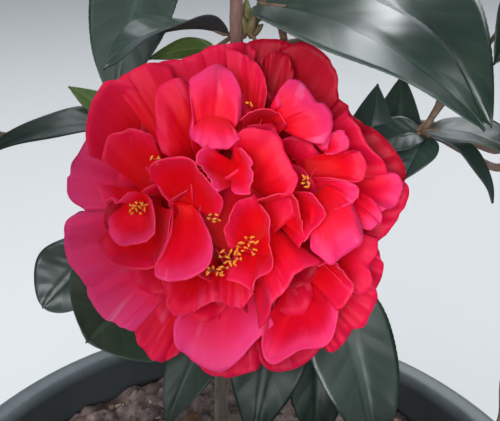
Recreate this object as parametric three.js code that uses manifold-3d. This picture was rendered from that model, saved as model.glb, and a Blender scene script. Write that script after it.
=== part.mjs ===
// A camellia shrub in its round pot: pot, soil, trunk, boughs, masses of foliage and one large bloom.
// Millimetres, +Z up. The origin is the middle of the pot's flat underside, and the bloom faces -Y.

import Module from 'manifold-3d';
import * as THREE from 'three';
import { mergeVertices } from 'three/addons/utils/BufferGeometryUtils.js';

const wasm = await Module();
wasm.setup();

// Driving sizes of the pot
const POT_HEIGHT = 280;
const POT_RIM_RADIUS = 173;
const POT_FOOT_RADIUS = 116;
const POT_WALL = 5;
const POT_LIP_WIDTH = 20;
const POT_LIP_DEPTH = 26;
const POT_FLOOR = 9;
const POT_SEGMENTS = 36;
const SOIL_FLOOR = 10.5;
const SOIL_LEVEL = 258;
const SOIL_LEVEL_RADIUS = 75;
const SOIL_BUMP = 2.5;
const SOIL_ROUND = 4;
const SOIL_CLEARANCE = 0.95;

// Driving sizes of the limbs
const TRUNK_RADIUS = 4.3;
const TRUNK_TIP_RADIUS = 1.9;
const FLARE_RADIUS = 4.5;
const FLARE_HEIGHT = 14;
const BOUGH_RADIUS = 2.5;
const BOUGH_TIP_RADIUS = 1.7;
const TWIG_RADIUS = 1.5;
const TWIG_TIP_RADIUS = 0.9;
const TRUNK_SIDES = 8;
const TRUNK_STEPS = 20;
const BOUGH_SIDES = 5;
const BOUGH_STEPS_A_SPAN = 3;
const STEM_STEPS = 4;
const TWIG_SIDES = 3;
const STALK_SIDES = 6;

// The gap between pieces that meet
const GAP = 0.35;

// Driving sizes of the leaves, and of the space that the crown fills
const LEAF_LENGTH = [72, 98];
const LEAF_WIDTH = 0.46;
const LEAF_THICKNESS = 1.6;
const CROWN_CENTRE = [0, 32, 500];
const CROWN_REACH = [236, 230, 252];
const TWIGS_A_MASS = 7;
const TWIG_LENGTH = [22, 40];
const LEAVES_A_TWIG = 3;
const TRIES_A_LEAF = 12;
const LEAVES_APART = 5;
const GOLDEN_ANGLE = 2.39996;

// How twigs stand on a mass's stem: where the first one leaves it, how far they turn by chance, and their
// shares along the stem (at its end more), away from it and outwards from the crown
const FIRST_TWIG = 0.3;
const TWIG_TURN_SPREAD = 0.7;
const TWIG_ALONG = 0.5;
const END_TWIG_ALONG = 1.2;
const TWIG_AWAY = 0.85;
const TWIG_OUTWARD = 0.25;
const TWIG_SAG = 2;

// How leaves stand on a twig: where the first and the last leave it, how far they turn by chance, and their
// shares along it, away from it and downwards; then the shares of outwards, chance and upwards in their facing
const LEAVES_FROM = 0.3;
const LEAVES_TO = 0.97;
const LEAF_TURN_SPREAD = 1.2;
const TURN_A_TRY = 1.5;
const LEAF_ALONG = [0.45, 0.8];
const LEAF_AWAY = 0.8;
const LEAF_DROOP = [0.1, 0.35];
const LEAF_ARCH = [4, 10];
const LEAF_FOLD = [0.1, 0.3];
const LEAF_SUNK = 1.2;
const FACING_OUTWARD = 0.5;
const FACING_SPREAD = 0.5;
const FACING_UP = 0.8;

// Seeds are dealt out by mass, by twig and by leaf
const SEEDS_A_MASS = 1000;
const SEEDS_A_TWIG = 50;
const SEEDS_A_LEAF = 14;
const TWIG_SEED = 7;
const LEAF_SEED = 8;

// How far things keep apart: neighbouring masses, the crown and the pot, leaves, twigs and limbs
const MASSES_APART = 0.6;
const CROWN_ABOVE_POT = 12;
const SAMPLES_APART = 5;
const LEAF_CLEARANCE = 7;
const TWIG_CLEARANCE = 0.8;
const SPRAY_CLEARANCE = 4;
const CLEAR_FROM_ROW = 2;

// How far a mass's stem goes beyond its middle, how it bends, and how near to the middle its bough comes
const STEM_BEYOND = 12;
const STEM_BEND = 0.4;
const BOUGH_SHARE = 0.42;

// Edges finer than this are merged when solids are joined
const FINENESS = 0.04;

// Driving sizes of the bloom, and the point that it faces: the crown is open on the way there
const EYE = new THREE.Vector3(7.6, -189, 551);
const EYE_DOWN = THREE.MathUtils.degToRad(27);
const EYE_DISTANCE = 226;
const BLOOM_ASIDE = [-4.7, 0.9];
const OPENING_HALF_WIDTH = 94;
const OPENING_HALF_HEIGHT = 80;
const HIDDEN_RADIUS = 53;
const HIDDEN_DEPTH = 264;
const PETAL_THICKNESS = 1.5;
const PETAL_STEPS = 4;
const PETAL_WAVES = 3;
const PETAL_ROOT_WIDTH = 0.62;
const PETAL_FULL_WIDTH_AT = 0.6;
const PETAL_FINENESS = 0.12;
const BLOOM_SEED = 5;
const CALYX_RADIUS = 21;
const CALYX_DEPTH = 13;
const CALYX_SEGMENTS = [10, 6];
const STALK = [[0, 0, -20], [-1, 0, -32]];
const STALK_FORK = 428;
const STALK_RADIUS = 3;
const STALK_END_RADIUS = 2.2;

const FORWARD = new THREE.Vector3(0, Math.cos(EYE_DOWN), -Math.sin(EYE_DOWN));
const UPWARD = new THREE.Vector3(0, Math.sin(EYE_DOWN), Math.cos(EYE_DOWN));
const SIDEWAYS = new THREE.Vector3(1, 0, 0);

const COLOURS = {
  pot: { color: 0x2d3234, roughness: 0.5 },
  soil: { color: 0x5c4a44, roughness: 0.95 },
  bark: { color: 0x8a7c70, roughness: 0.85 },
  leaf: { color: 0x2c4a3c, roughness: 0.35 },
  petal: { color: 0xd8103c, roughness: 0.5 },
};

const shrub = new THREE.Group();

function point(triple) {
  return new THREE.Vector3(triple[0], triple[1], triple[2]);
}

// The same row of numbers for the same seed, each from 0 to 1
function seeded(seed) {
  let state = (seed * 7919 + 104729) % 2147483647;
  return () => {
    state = (state * 16807) % 2147483647;
    return state / 2147483647;
  };
}

// A place given as it is seen from the eye point: u to the right and v up from the bloom's middle, both
// measured at the bloom's distance, and w towards the eye
function fromFront([u, v, w]) {
  const distance = EYE_DISTANCE - w;
  const spread = distance / EYE_DISTANCE;
  return EYE.clone()
    .addScaledVector(FORWARD, distance)
    .addScaledVector(SIDEWAYS, (u + BLOOM_ASIDE[0]) * spread)
    .addScaledVector(UPWARD, (v + BLOOM_ASIDE[1]) * spread);
}

function directionFromFront([u, v, w]) {
  const direction = SIDEWAYS.clone().multiplyScalar(u);
  return direction.addScaledVector(UPWARD, v).addScaledVector(FORWARD, -w).normalize();
}

// True for a place that would stand between the eye point and what it sees of the bloom and its leaves
function inOpening(place) {
  const fromEye = place.clone().sub(EYE);
  const depth = fromEye.dot(FORWARD);
  if (depth <= 0) return false;
  const u = (fromEye.dot(SIDEWAYS) * EYE_DISTANCE) / depth;
  const v = (fromEye.dot(UPWARD) * EYE_DISTANCE) / depth;
  if (Math.abs(u) > OPENING_HALF_WIDTH || Math.abs(v) > OPENING_HALF_HEIGHT) return false;
  const behindBloom = Math.hypot(u - BLOOM_ASIDE[0], v - BLOOM_ASIDE[1]) < HIDDEN_RADIUS;
  return !(behindBloom && depth > HIDDEN_DEPTH);
}

function solidFrom(positions, indices) {
  const geometry = new THREE.BufferGeometry();
  geometry.setAttribute('position', new THREE.Float32BufferAttribute(positions, 3));
  geometry.setIndex(indices);
  return solidOf(geometry);
}

function solidOf(geometry) {
  geometry.deleteAttribute('normal');
  geometry.deleteAttribute('uv');
  const merged = mergeVertices(geometry, 1e-4);
  return new wasm.Manifold(new wasm.Mesh({
    numProp: 3,
    vertProperties: new Float32Array(merged.attributes.position.array),
    triVerts: new Uint32Array(merged.index.array),
  }));
}

// The largest body of a solid: hollows that joining has sealed are shells of their own, and go with the scraps
function largestBody(solid) {
  const bodies = solid.decompose();
  bodies.sort((a, b) => b.volume() - a.volume());
  return bodies[0];
}

// Joins the solids into one body, and merges edges that are finer than its shape needs
function fuse(solids, fineness = FINENESS) {
  let whole = solids[0];
  for (const solid of solids.slice(1)) whole = whole.add(solid);
  return largestBody(largestBody(whole).asOriginal().simplify(fineness));
}

function addNode(name, solid, finish) {
  const mesh = solid.getMesh();
  const geometry = new THREE.BufferGeometry();
  geometry.setAttribute('position', new THREE.BufferAttribute(mesh.vertProperties, 3));
  geometry.setIndex(new THREE.BufferAttribute(mesh.triVerts, 1));
  const material = new THREE.MeshStandardMaterial({ ...COLOURS[finish], metalness: 0 });
  const node = new THREE.Mesh(geometry, material);
  node.name = name;
  shrub.add(node);
}

// A limb: rings of a few sides along a smooth curve through the points, closed at both ends
function limb(points, radiusAt, sides, steps) {
  const curve = new THREE.CatmullRomCurve3(points, false, 'catmullrom', 0.5);
  const positions = [];
  const indices = [];
  let side = new THREE.Vector3(1, 0, 0);
  for (let i = 0; i <= steps; i += 1) {
    const t = i / steps;
    const middle = curve.getPoint(t);
    const along = curve.getTangent(t);
    side = side.clone().addScaledVector(along, -side.dot(along));
    if (side.lengthSq() < 1e-6) side.set(0, 1, 0).addScaledVector(along, -along.y);
    side.normalize();
    const other = along.clone().cross(side);
    const radius = radiusAt(t);
    for (let k = 0; k < sides; k += 1) {
      const angle = (k / sides) * Math.PI * 2;
      const spot = middle.clone()
        .addScaledVector(side, radius * Math.cos(angle))
        .addScaledVector(other, radius * Math.sin(angle));
      positions.push(spot.x, spot.y, spot.z);
    }
  }
  for (let i = 0; i < steps; i += 1) {
    for (let k = 0; k < sides; k += 1) {
      const a = i * sides + k;
      const b = i * sides + ((k + 1) % sides);
      indices.push(a, b, b + sides, a, b + sides, a + sides);
    }
  }
  const last = steps * sides;
  for (let k = 1; k < sides - 1; k += 1) {
    indices.push(0, k + 1, k, last, last + k, last + k + 1);
  }
  return solidFrom(positions, indices);
}

function taper(from, to) {
  return (t) => from + (to - from) * t;
}

function between([from, to], share) {
  return from + (to - from) * share;
}

// A leaf: a folded blade on an arched spine, sharp at its margin and thick at its midrib
const BLADE_FEW = [[0.3, 0.88], [0.68, 0.92]];
const BLADE_MANY = [[0.2, 0.72], [0.5, 1], [0.8, 0.66]];

function leafAxes(leaf) {
  const along = leaf.tip.clone().sub(leaf.base).normalize();
  const face = leaf.facing.clone().addScaledVector(along, -leaf.facing.dot(along)).normalize();
  return { along, face, across: along.clone().cross(face) };
}

function leafPoint(leaf, axes, s, t, widthHere) {
  const half = (leaf.width / 2) * widthHere * t;
  const rise = leaf.arch * 4 * s * (1 - s) + Math.abs(half) * Math.tan(leaf.fold);
  return leaf.base.clone().lerp(leaf.tip, s)
    .addScaledVector(axes.across, half)
    .addScaledVector(axes.face, rise);
}

function leafSolid(leaf, blade) {
  const axes = leafAxes(leaf);
  const count = blade.length;
  const places = [leaf.base, leaf.tip];
  for (const [s, widthHere] of blade) {
    const middle = leafPoint(leaf, axes, s, 0, widthHere);
    places.push(leafPoint(leaf, axes, s, -1, widthHere));
    places.push(leafPoint(leaf, axes, s, 1, widthHere));
    places.push(middle.clone().addScaledVector(axes.face, LEAF_THICKNESS / 2));
    places.push(middle.clone().addScaledVector(axes.face, -LEAF_THICKNESS / 2));
  }
  const left = (i) => 2 + 4 * i;
  const right = (i) => 3 + 4 * i;
  const above = (i) => 4 + 4 * i;
  const below = (i) => 5 + 4 * i;
  const end = count - 1;
  const indices = [
    0, above(0), left(0), 0, right(0), above(0), 0, left(0), below(0), 0, below(0), right(0),
    1, left(end), above(end), 1, above(end), right(end), 1, below(end), left(end), 1, right(end), below(end),
  ];
  for (let i = 0; i < end; i += 1) {
    const j = i + 1;
    indices.push(left(i), above(i), above(j), left(i), above(j), left(j));
    indices.push(above(i), right(i), right(j), above(i), right(j), above(j));
    indices.push(left(i), below(j), below(i), left(i), left(j), below(j));
    indices.push(below(i), right(j), right(i), below(i), below(j), right(j));
  }
  return solidFrom(places.flatMap((p) => [p.x, p.y, p.z]), indices);
}

// Places spread over a leaf from one of its rows on, near enough to each other that no limb passes unseen
const SAMPLE_ROWS = 8;
const SAMPLES_ACROSS = [-1, -0.5, 0, 0.5, 1];

function leafSamples(leaf, firstRow = 0) {
  const axes = leafAxes(leaf);
  const samples = [];
  for (let i = firstRow; i <= SAMPLE_ROWS; i += 1) {
    const s = i / SAMPLE_ROWS;
    const widthHere = Math.sin(Math.PI * Math.min(0.96, 0.08 + 0.88 * s));
    for (const t of SAMPLES_ACROSS) samples.push(leafPoint(leaf, axes, s, t, widthHere));
  }
  return samples;
}

// The pot's outline: its underside, its outer wall, its rolled lip, its inner wall and its floor
const LIP_INSIDE = POT_RIM_RADIUS - POT_LIP_WIDTH;
const LIP_FOOT = POT_HEIGHT - POT_LIP_DEPTH;
const LIP_UNDER = [LIP_INSIDE - 2, POT_HEIGHT - 16];
const WALL_TOP = [LIP_INSIDE - POT_WALL, LIP_FOOT - 6];
const WALL_FOOT = [POT_FOOT_RADIUS - POT_WALL, POT_FLOOR + 1];
const POT_OUTLINE = [
  [0, 0], [POT_FOOT_RADIUS - 4, 0], [POT_FOOT_RADIUS, 4],
  [LIP_INSIDE + 2, LIP_FOOT - 2], [POT_RIM_RADIUS - 4, LIP_FOOT], [POT_RIM_RADIUS - 1, LIP_FOOT + 5],
  [POT_RIM_RADIUS, POT_HEIGHT - 11], [POT_RIM_RADIUS - 2.5, POT_HEIGHT - 4], [POT_RIM_RADIUS - 8, POT_HEIGHT],
  [LIP_INSIDE + 5, POT_HEIGHT - 1], [LIP_INSIDE, POT_HEIGHT - 5], LIP_UNDER,
  WALL_TOP, WALL_FOOT, [0, POT_FLOOR],
];

// A round shape from its outline of radius and height
function turned(outline, segments) {
  const geometry = new THREE.LatheGeometry(outline.map(([r, z]) => new THREE.Vector2(r, z)), segments);
  return geometry.rotateX(Math.PI / 2);
}

function makePot() {
  addNode('pot', solidOf(turned(POT_OUTLINE, POT_SEGMENTS)), 'pot');
}

// The soil that fills the pot, level round the trunk and uneven further out
function makeSoil() {
  const brim = SOIL_LEVEL - SOIL_ROUND;
  const up = (brim - WALL_TOP[1]) / (LIP_UNDER[1] - WALL_TOP[1]);
  const edge = between([WALL_TOP[0], LIP_UNDER[0]], up) - SOIL_CLEARANCE;
  const outline = [
    [0, SOIL_FLOOR], [WALL_FOOT[0] - SOIL_CLEARANCE - 1, SOIL_FLOOR], [WALL_TOP[0] - SOIL_CLEARANCE, WALL_TOP[1]],
    [edge, brim], [edge - 2 * SOIL_ROUND, SOIL_LEVEL], [110, SOIL_LEVEL], [80, SOIL_LEVEL], [0, SOIL_LEVEL],
  ];
  const geometry = turned(outline, POT_SEGMENTS / 2);
  const places = geometry.attributes.position;
  for (let i = 0; i < places.count; i += 1) {
    const x = places.getX(i);
    const y = places.getY(i);
    const away = Math.hypot(x, y);
    if (places.getZ(i) > SOIL_LEVEL - 1 && away > SOIL_LEVEL_RADIUS) {
      places.setZ(i, SOIL_LEVEL - SOIL_BUMP * (1 + Math.sin(x * 0.07 + 1) * Math.cos(y * 0.06)));
    }
  }
  addNode('soil', solidOf(geometry), 'soil');
}

// The trunk leans back from the bloom, and its foot flares out at the soil
const TRUNK = [
  [-6, 46, SOIL_LEVEL + GAP], [-6.5, 46.4, 274], [-8, 47, 292], [-6, 49, 340],
  [-3, 52, 400], [1, 55, 460], [2.4, 57, 505], [0, 60, 550], [-5, 60, 590],
].map(point);

function trunkRadius(t) {
  const height = t * (TRUNK[TRUNK.length - 1].z - SOIL_LEVEL);
  return TRUNK_RADIUS + (TRUNK_TIP_RADIUS - TRUNK_RADIUS) * t + FLARE_RADIUS * Math.exp(-height / FLARE_HEIGHT);
}

function trunkAt(z) {
  let i = 1;
  while (i < TRUNK.length - 1 && TRUNK[i].z < z) i += 1;
  const t = (z - TRUNK[i - 1].z) / (TRUNK[i].z - TRUNK[i - 1].z);
  return TRUNK[i - 1].clone().lerp(TRUNK[i], t);
}

// The crown: each mass of foliage with its middle, where its bough leaves the trunk and what it passes
const CROWN = [
  { name: 'high_front', fork: 556, via: [[2, 22, 590]], middle: [2, -28, 622] },
  { name: 'high_left', fork: 528, via: [[-38, 52, 562]], middle: [-92, 28, 602] },
  { name: 'high_right', fork: 541, via: [[40, 54, 572]], middle: [95, 34, 598] },
  { name: 'high_back', fork: 534, via: [[4, 92, 570]], middle: [5, 130, 606] },
  { name: 'left', fork: 446, via: [[-24, 80, 448], [-66, 82, 458], [-104, 72, 454]], middle: [-132, 42, 500] },
  { name: 'right', fork: 414, via: [[40, 80, 440], [90, 91, 449], [121, 74, 439]], middle: [138, 52, 494] },
  { name: 'front_left', fork: 284, via: [[-62, 8, 316], [-108, -42, 375]], middle: [-108, -74, 474] },
  { name: 'front_right', fork: 296, via: [[66, 6, 322], [112, -40, 378]], middle: [114, -72, 466] },
  { name: 'back_left', fork: 392, via: [[-38, 88, 434], [-75, 106, 448], [-120, 114, 440]], middle: [-142, 120, 486] },
  { name: 'back_right', fork: 402, via: [[44, 102, 440], [96, 114, 446], [138, 118, 430]], middle: [148, 122, 480] },
  { name: 'low_left', fork: 302, via: [[-46, 36, 312], [-112, 24, 324]], middle: [-134, 46, 392] },
  { name: 'low_right', fork: 310, via: [[46, 38, 316], [118, 26, 322]], middle: [140, 52, 386] },
  { name: 'low_back', fork: 350, via: [[0, 86, 368]], middle: [2, 138, 396] },
  { name: 'low_front', fork: 272, via: [[0, 8, 298]], middle: [0, -66, 366] },
];
const TOP = { name: 'top', middle: [-4, 54, 652] };
const ALL_MASSES = [...CROWN, TOP];

// Leaves and twigs keep clear of the limbs, and of the leaves that stand round the bloom
const keepClear = [];

function keepClearOfLimb(points, radiusAt) {
  const curve = new THREE.CatmullRomCurve3(points, false, 'catmullrom', 0.5);
  const count = Math.ceil(curve.getLength() / SAMPLES_APART);
  for (let i = 0; i <= count; i += 1) {
    const t = i / count;
    keepClear.push({ centre: curve.getPoint(t), radius: radiusAt(t) });
  }
}

function makeTrunk() {
  addNode('trunk', limb(TRUNK, trunkRadius, TRUNK_SIDES, TRUNK_STEPS), 'bark');
  keepClearOfLimb(TRUNK, trunkRadius);
  return limb(TRUNK, (t) => trunkRadius(t) + GAP, TRUNK_SIDES, TRUNK_STEPS);
}

function boughPoints(mass) {
  const root = trunkAt(mass.fork);
  const last = point(mass.via[mass.via.length - 1]);
  const tip = last.clone().lerp(point(mass.middle), BOUGH_SHARE);
  return [root, ...mass.via.map(point), tip];
}

function makeBough(mass, aroundTrunk) {
  const points = boughPoints(mass);
  const radiusAt = taper(BOUGH_RADIUS, BOUGH_TIP_RADIUS);
  const steps = BOUGH_STEPS_A_SPAN * (points.length - 1);
  const solid = limb(points, radiusAt, BOUGH_SIDES, steps).subtract(aroundTrunk);
  addNode(`bough_${mass.name}`, fuse([solid]), 'bark');
  keepClearOfLimb(points, radiusAt);
}

// A mass keeps to the space that is nearer to its own middle than to any other
function inOwnSpace(place, mass, margin) {
  return ALL_MASSES.every((other) => {
    if (other === mass) return true;
    const middle = point(mass.middle).add(point(other.middle)).multiplyScalar(0.5);
    const apart = point(other.middle).sub(point(mass.middle)).normalize();
    return place.clone().sub(middle).dot(apart) < -margin;
  });
}

function inCrown(place) {
  const out = place.clone().sub(point(CROWN_CENTRE)).divide(point(CROWN_REACH));
  return out.lengthSq() < 1 && place.z > POT_HEIGHT + CROWN_ABOVE_POT;
}

function fits(samples, mass, clearance, ownLeaves) {
  return samples.every((place) => {
    if (!inCrown(place) || inOpening(place) || !inOwnSpace(place, mass, MASSES_APART)) return false;
    if (ownLeaves.some((other) => place.distanceTo(other) < LEAVES_APART)) return false;
    return keepClear.every((ball) => place.distanceTo(ball.centre) > ball.radius + clearance);
  });
}

function twigSamples(points) {
  const curve = new THREE.CatmullRomCurve3(points, false, 'catmullrom', 0.5);
  return curve.getPoints(10);
}

// A seeded leaf at one place of a twig: it leans out from the twig and turns its face to the light
function growLeaf(place, twigDirection, turn, outward, random) {
  const up = new THREE.Vector3(0, 0, 1);
  const side = twigDirection.clone().cross(up).normalize();
  const over = side.clone().cross(twigDirection);
  const angle = turn + (random() - 0.5) * LEAF_TURN_SPREAD;
  const radial = side.multiplyScalar(Math.cos(angle)).addScaledVector(over, Math.sin(angle));
  const direction = twigDirection.clone().multiplyScalar(between(LEAF_ALONG, random()));
  direction.addScaledVector(radial, LEAF_AWAY);
  direction.z -= between(LEAF_DROOP, random());
  direction.normalize();
  const length = between(LEAF_LENGTH, random());
  const facing = outward.clone().multiplyScalar(FACING_OUTWARD);
  facing.x += (random() - 0.5) * FACING_SPREAD;
  facing.y += (random() - 0.5) * FACING_SPREAD;
  facing.z += FACING_UP;
  return {
    base: place.clone().addScaledVector(direction, -TWIG_RADIUS * LEAF_SUNK),
    tip: place.clone().addScaledVector(direction, length),
    width: length * LEAF_WIDTH,
    facing,
    arch: between(LEAF_ARCH, random()),
    fold: between(LEAF_FOLD, random()),
  };
}

// Twigs branch from the mass's stem by turns of the golden angle, with leaves by the same turns
function growMass(mass, start, startDirection, number) {
  const middle = point(mass.middle);
  const outward = middle.clone().sub(point(CROWN_CENTRE)).normalize();
  const end = middle.clone().addScaledVector(outward, STEM_BEYOND);
  const bend = start.clone().addScaledVector(startDirection, start.distanceTo(end) * STEM_BEND);
  const stem = [start, bend, end];
  const stemCurve = new THREE.CatmullRomCurve3(stem, false, 'catmullrom', 0.5);
  const grown = { stem, twigs: [], leaves: [] };
  const ownLeaves = [];
  for (let k = 0; k < TWIGS_A_MASS; k += 1) {
    const seed = number * SEEDS_A_MASS + k * SEEDS_A_TWIG;
    const random = seeded(seed + TWIG_SEED);
    const f = between([FIRST_TWIG, 1], k / (TWIGS_A_MASS - 1));
    const root = stemCurve.getPoint(f);
    const along = stemCurve.getTangent(f);
    const side = along.clone().cross(new THREE.Vector3(0, 0.3, 1)).normalize();
    const over = side.clone().cross(along);
    const angle = k * GOLDEN_ANGLE + random() * TWIG_TURN_SPREAD + number;
    const direction = along.clone().multiplyScalar(k === TWIGS_A_MASS - 1 ? END_TWIG_ALONG : TWIG_ALONG)
      .addScaledVector(side, TWIG_AWAY * Math.cos(angle))
      .addScaledVector(over, TWIG_AWAY * Math.sin(angle))
      .addScaledVector(outward, TWIG_OUTWARD)
      .normalize();
    const tip = root.clone().addScaledVector(direction, between(TWIG_LENGTH, random()));
    const knee = root.clone().lerp(tip, 0.5).add(new THREE.Vector3(0, 0, -TWIG_SAG));
    const twig = [root, knee, tip];
    if (!fits(twigSamples(twig).slice(1), mass, TWIG_RADIUS + TWIG_CLEARANCE, ownLeaves)) continue;
    grown.twigs.push(twig);
    const twigCurve = new THREE.CatmullRomCurve3(twig, false, 'catmullrom', 0.5);
    for (let j = 0; j < LEAVES_A_TWIG; j += 1) {
      const g = between([LEAVES_FROM, LEAVES_TO], j / (LEAVES_A_TWIG - 1));
      for (let attempt = 0; attempt < TRIES_A_LEAF; attempt += 1) {
        const draw = seeded(seed + j * SEEDS_A_LEAF + attempt + LEAF_SEED);
        const turn = (j + k) * GOLDEN_ANGLE + attempt * TURN_A_TRY;
        const leaf = growLeaf(twigCurve.getPoint(g), twigCurve.getTangent(g), turn, outward, draw);
        const samples = leafSamples(leaf, CLEAR_FROM_ROW);
        if (!fits(samples, mass, LEAF_CLEARANCE, ownLeaves)) continue;
        grown.leaves.push(leaf);
        ownLeaves.push(...samples);
        break;
      }
    }
  }
  return grown;
}

function makeMass(name, grown, cutter) {
  let stem = limb(grown.stem, taper(BOUGH_TIP_RADIUS, TWIG_RADIUS), BOUGH_SIDES, STEM_STEPS);
  if (cutter) stem = stem.subtract(cutter);
  const solids = [stem];
  for (const twig of grown.twigs) {
    solids.push(limb(twig, taper(TWIG_RADIUS, TWIG_TIP_RADIUS), TWIG_SIDES, twig.length - 1));
  }
  for (const leaf of grown.leaves) solids.push(leafSolid(leaf, leaf.blade ?? BLADE_FEW));
  addNode(`foliage_${name}`, fuse(solids), 'leaf');
}

// The leaves that stand round the bloom, each with its base, its tip and the way its upper face looks,
// in the measure of fromFront
const SPRAYS = [
  {
    name: 'round_bloom_upper',
    stem: [[0, 66, -14], [8, 69, -22], [14, 74, -29]],
    leaves: [
      { base: [8, 74, -20], tip: [91, 30.4, 12], width: 54, facing: [0.3, 0.62, 0.72], arch: 10, fold: 0.08 },
      { base: [40, 92, -52], tip: [92.6, 30, -24], width: 56, facing: [0.15, 0.15, 0.97], arch: 8, fold: 0.1 },
      { base: [-27, 97, -38], tip: [-44, 37, -26], width: 38, facing: [-0.15, 0.25, 0.95], arch: 3, fold: 0.12 },
      { base: [-3, 63, -20], tip: [-48.5, 50.7, -10], width: 28, facing: [-0.1, 0.9, 0.4], arch: 8, fold: 0.25 },
      { base: [-8, 58, -29], tip: [-32, 54, -27], width: 10, facing: [0, 0.4, 0.9], arch: 2, fold: 0.2 },
    ],
  },
  {
    name: 'round_bloom_right',
    stem: [[0, 52, -17], [20, 60, -34], [42, 59, -40], [60, 52, -42], [74, 43, -42], [68, 28, -38]],
    leaves: [
      { base: [112, 86, -36], tip: [93, 52, -32], width: 24, facing: [0.3, 0.5, 0.8], arch: 3, fold: 0.15 },
      { base: [36, 8, -50], tip: [54, 46, -46], width: 28, facing: [0.2, 0.5, 0.85], arch: 4, fold: 0.1 },
      { base: [54, 8, -54], tip: [60, 48, -52], width: 24, facing: [0.1, 0.4, 0.9], arch: 3, fold: 0.1 },
      { base: [68, 27, -40], tip: [43, 19, -40], width: 20, facing: [-0.2, 0.6, 0.75], arch: 4, fold: 0.2 },
      { base: [68, 28, -36], tip: [108, 12, -24], width: 27, facing: [0.25, 0.75, 0.6], arch: 7, fold: 0.15 },
      { base: [70, 26, -37], tip: [92.7, 1.8, -22], width: 16, facing: [0.5, 0.6, 0.6], arch: 6, fold: 0.2 },
      { base: [68, 26, -39], tip: [60, 10, -30], width: 17, facing: [0, 0.7, 0.7], arch: 3, fold: 0.15 },
    ],
  },
  {
    name: 'round_bloom_lower',
    stem: [[-3, -8, -52], [-1, -12, -46], [0, -16, -42]],
    leaves: [
      { base: [-40, 30, -43], tip: [-61, 44, -37], width: 12, facing: [0, 0.5, 0.85], arch: 1, fold: 0.2 },
      { base: [-32, 28, -40], tip: [-96, 16, -22], width: 24, facing: [-0.12, 0.8, 0.58], arch: 8, fold: 0.2 },
      { base: [-46, -14, -42], tip: [-70.6, -36, -26], width: 34, facing: [-0.15, 0.4, 0.9], arch: 4, fold: 0.12 },
      { base: [-27, -24, -56], tip: [-54.5, -48.5, -14], width: 56, facing: [0.5, 0.5, 0.7], arch: 4, fold: 0.1 },
      { base: [-1, -26, -42], tip: [-26, -79, -20], width: 26, facing: [-0.1, 0.35, 0.93], arch: 4, fold: 0.15 },
      { base: [16, -26, -43], tip: [5.4, -85, -24], width: 34, facing: [0, 0.4, 0.9], arch: 4, fold: 0.12 },
      { base: [30, -26, -45], tip: [28, -88, -32], width: 32, facing: [0.05, 0.4, 0.9], arch: 4, fold: 0.12 },
      { base: [33, -24, -42], tip: [51, -93, -22], width: 38, facing: [0.25, 0.3, 0.92], arch: 5, fold: 0.12 },
    ],
  },
];

// A spray's leaf stalks leave its stem just before the end, sag a little and reach into each blade
const STALKS_BEFORE_END = 0.2;
const LEAF_STALK_SAG = 0.06;
const LEAF_STALK_WITHIN = 0.12;

function growSpray(spray) {
  const stem = spray.stem.map(fromFront);
  const hub = stem[stem.length - 1];
  const root = hub.clone().lerp(stem[stem.length - 2], STALKS_BEFORE_END);
  const leaves = spray.leaves.map((leaf) => ({
    ...leaf,
    base: fromFront(leaf.base),
    tip: fromFront(leaf.tip),
    facing: directionFromFront(leaf.facing),
    blade: BLADE_MANY,
  }));
  const twigs = leaves.map((leaf) => {
    const within = leafPoint(leaf, leafAxes(leaf), LEAF_STALK_WITHIN, 0, 0);
    const sag = hub.distanceTo(leaf.base) * LEAF_STALK_SAG;
    const knee = hub.clone().lerp(leaf.base, 0.5).addScaledVector(FORWARD, sag);
    return [root, knee, leaf.base, within];
  });
  return { stem, twigs, leaves };
}

function keepClearOfSpray(grown) {
  for (const twig of grown.twigs) keepClearOfLimb(twig, () => TWIG_RADIUS);
  for (const leaf of grown.leaves) {
    for (const place of leafSamples(leaf)) keepClear.push({ centre: place, radius: SPRAY_CLEARANCE });
  }
}

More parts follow.
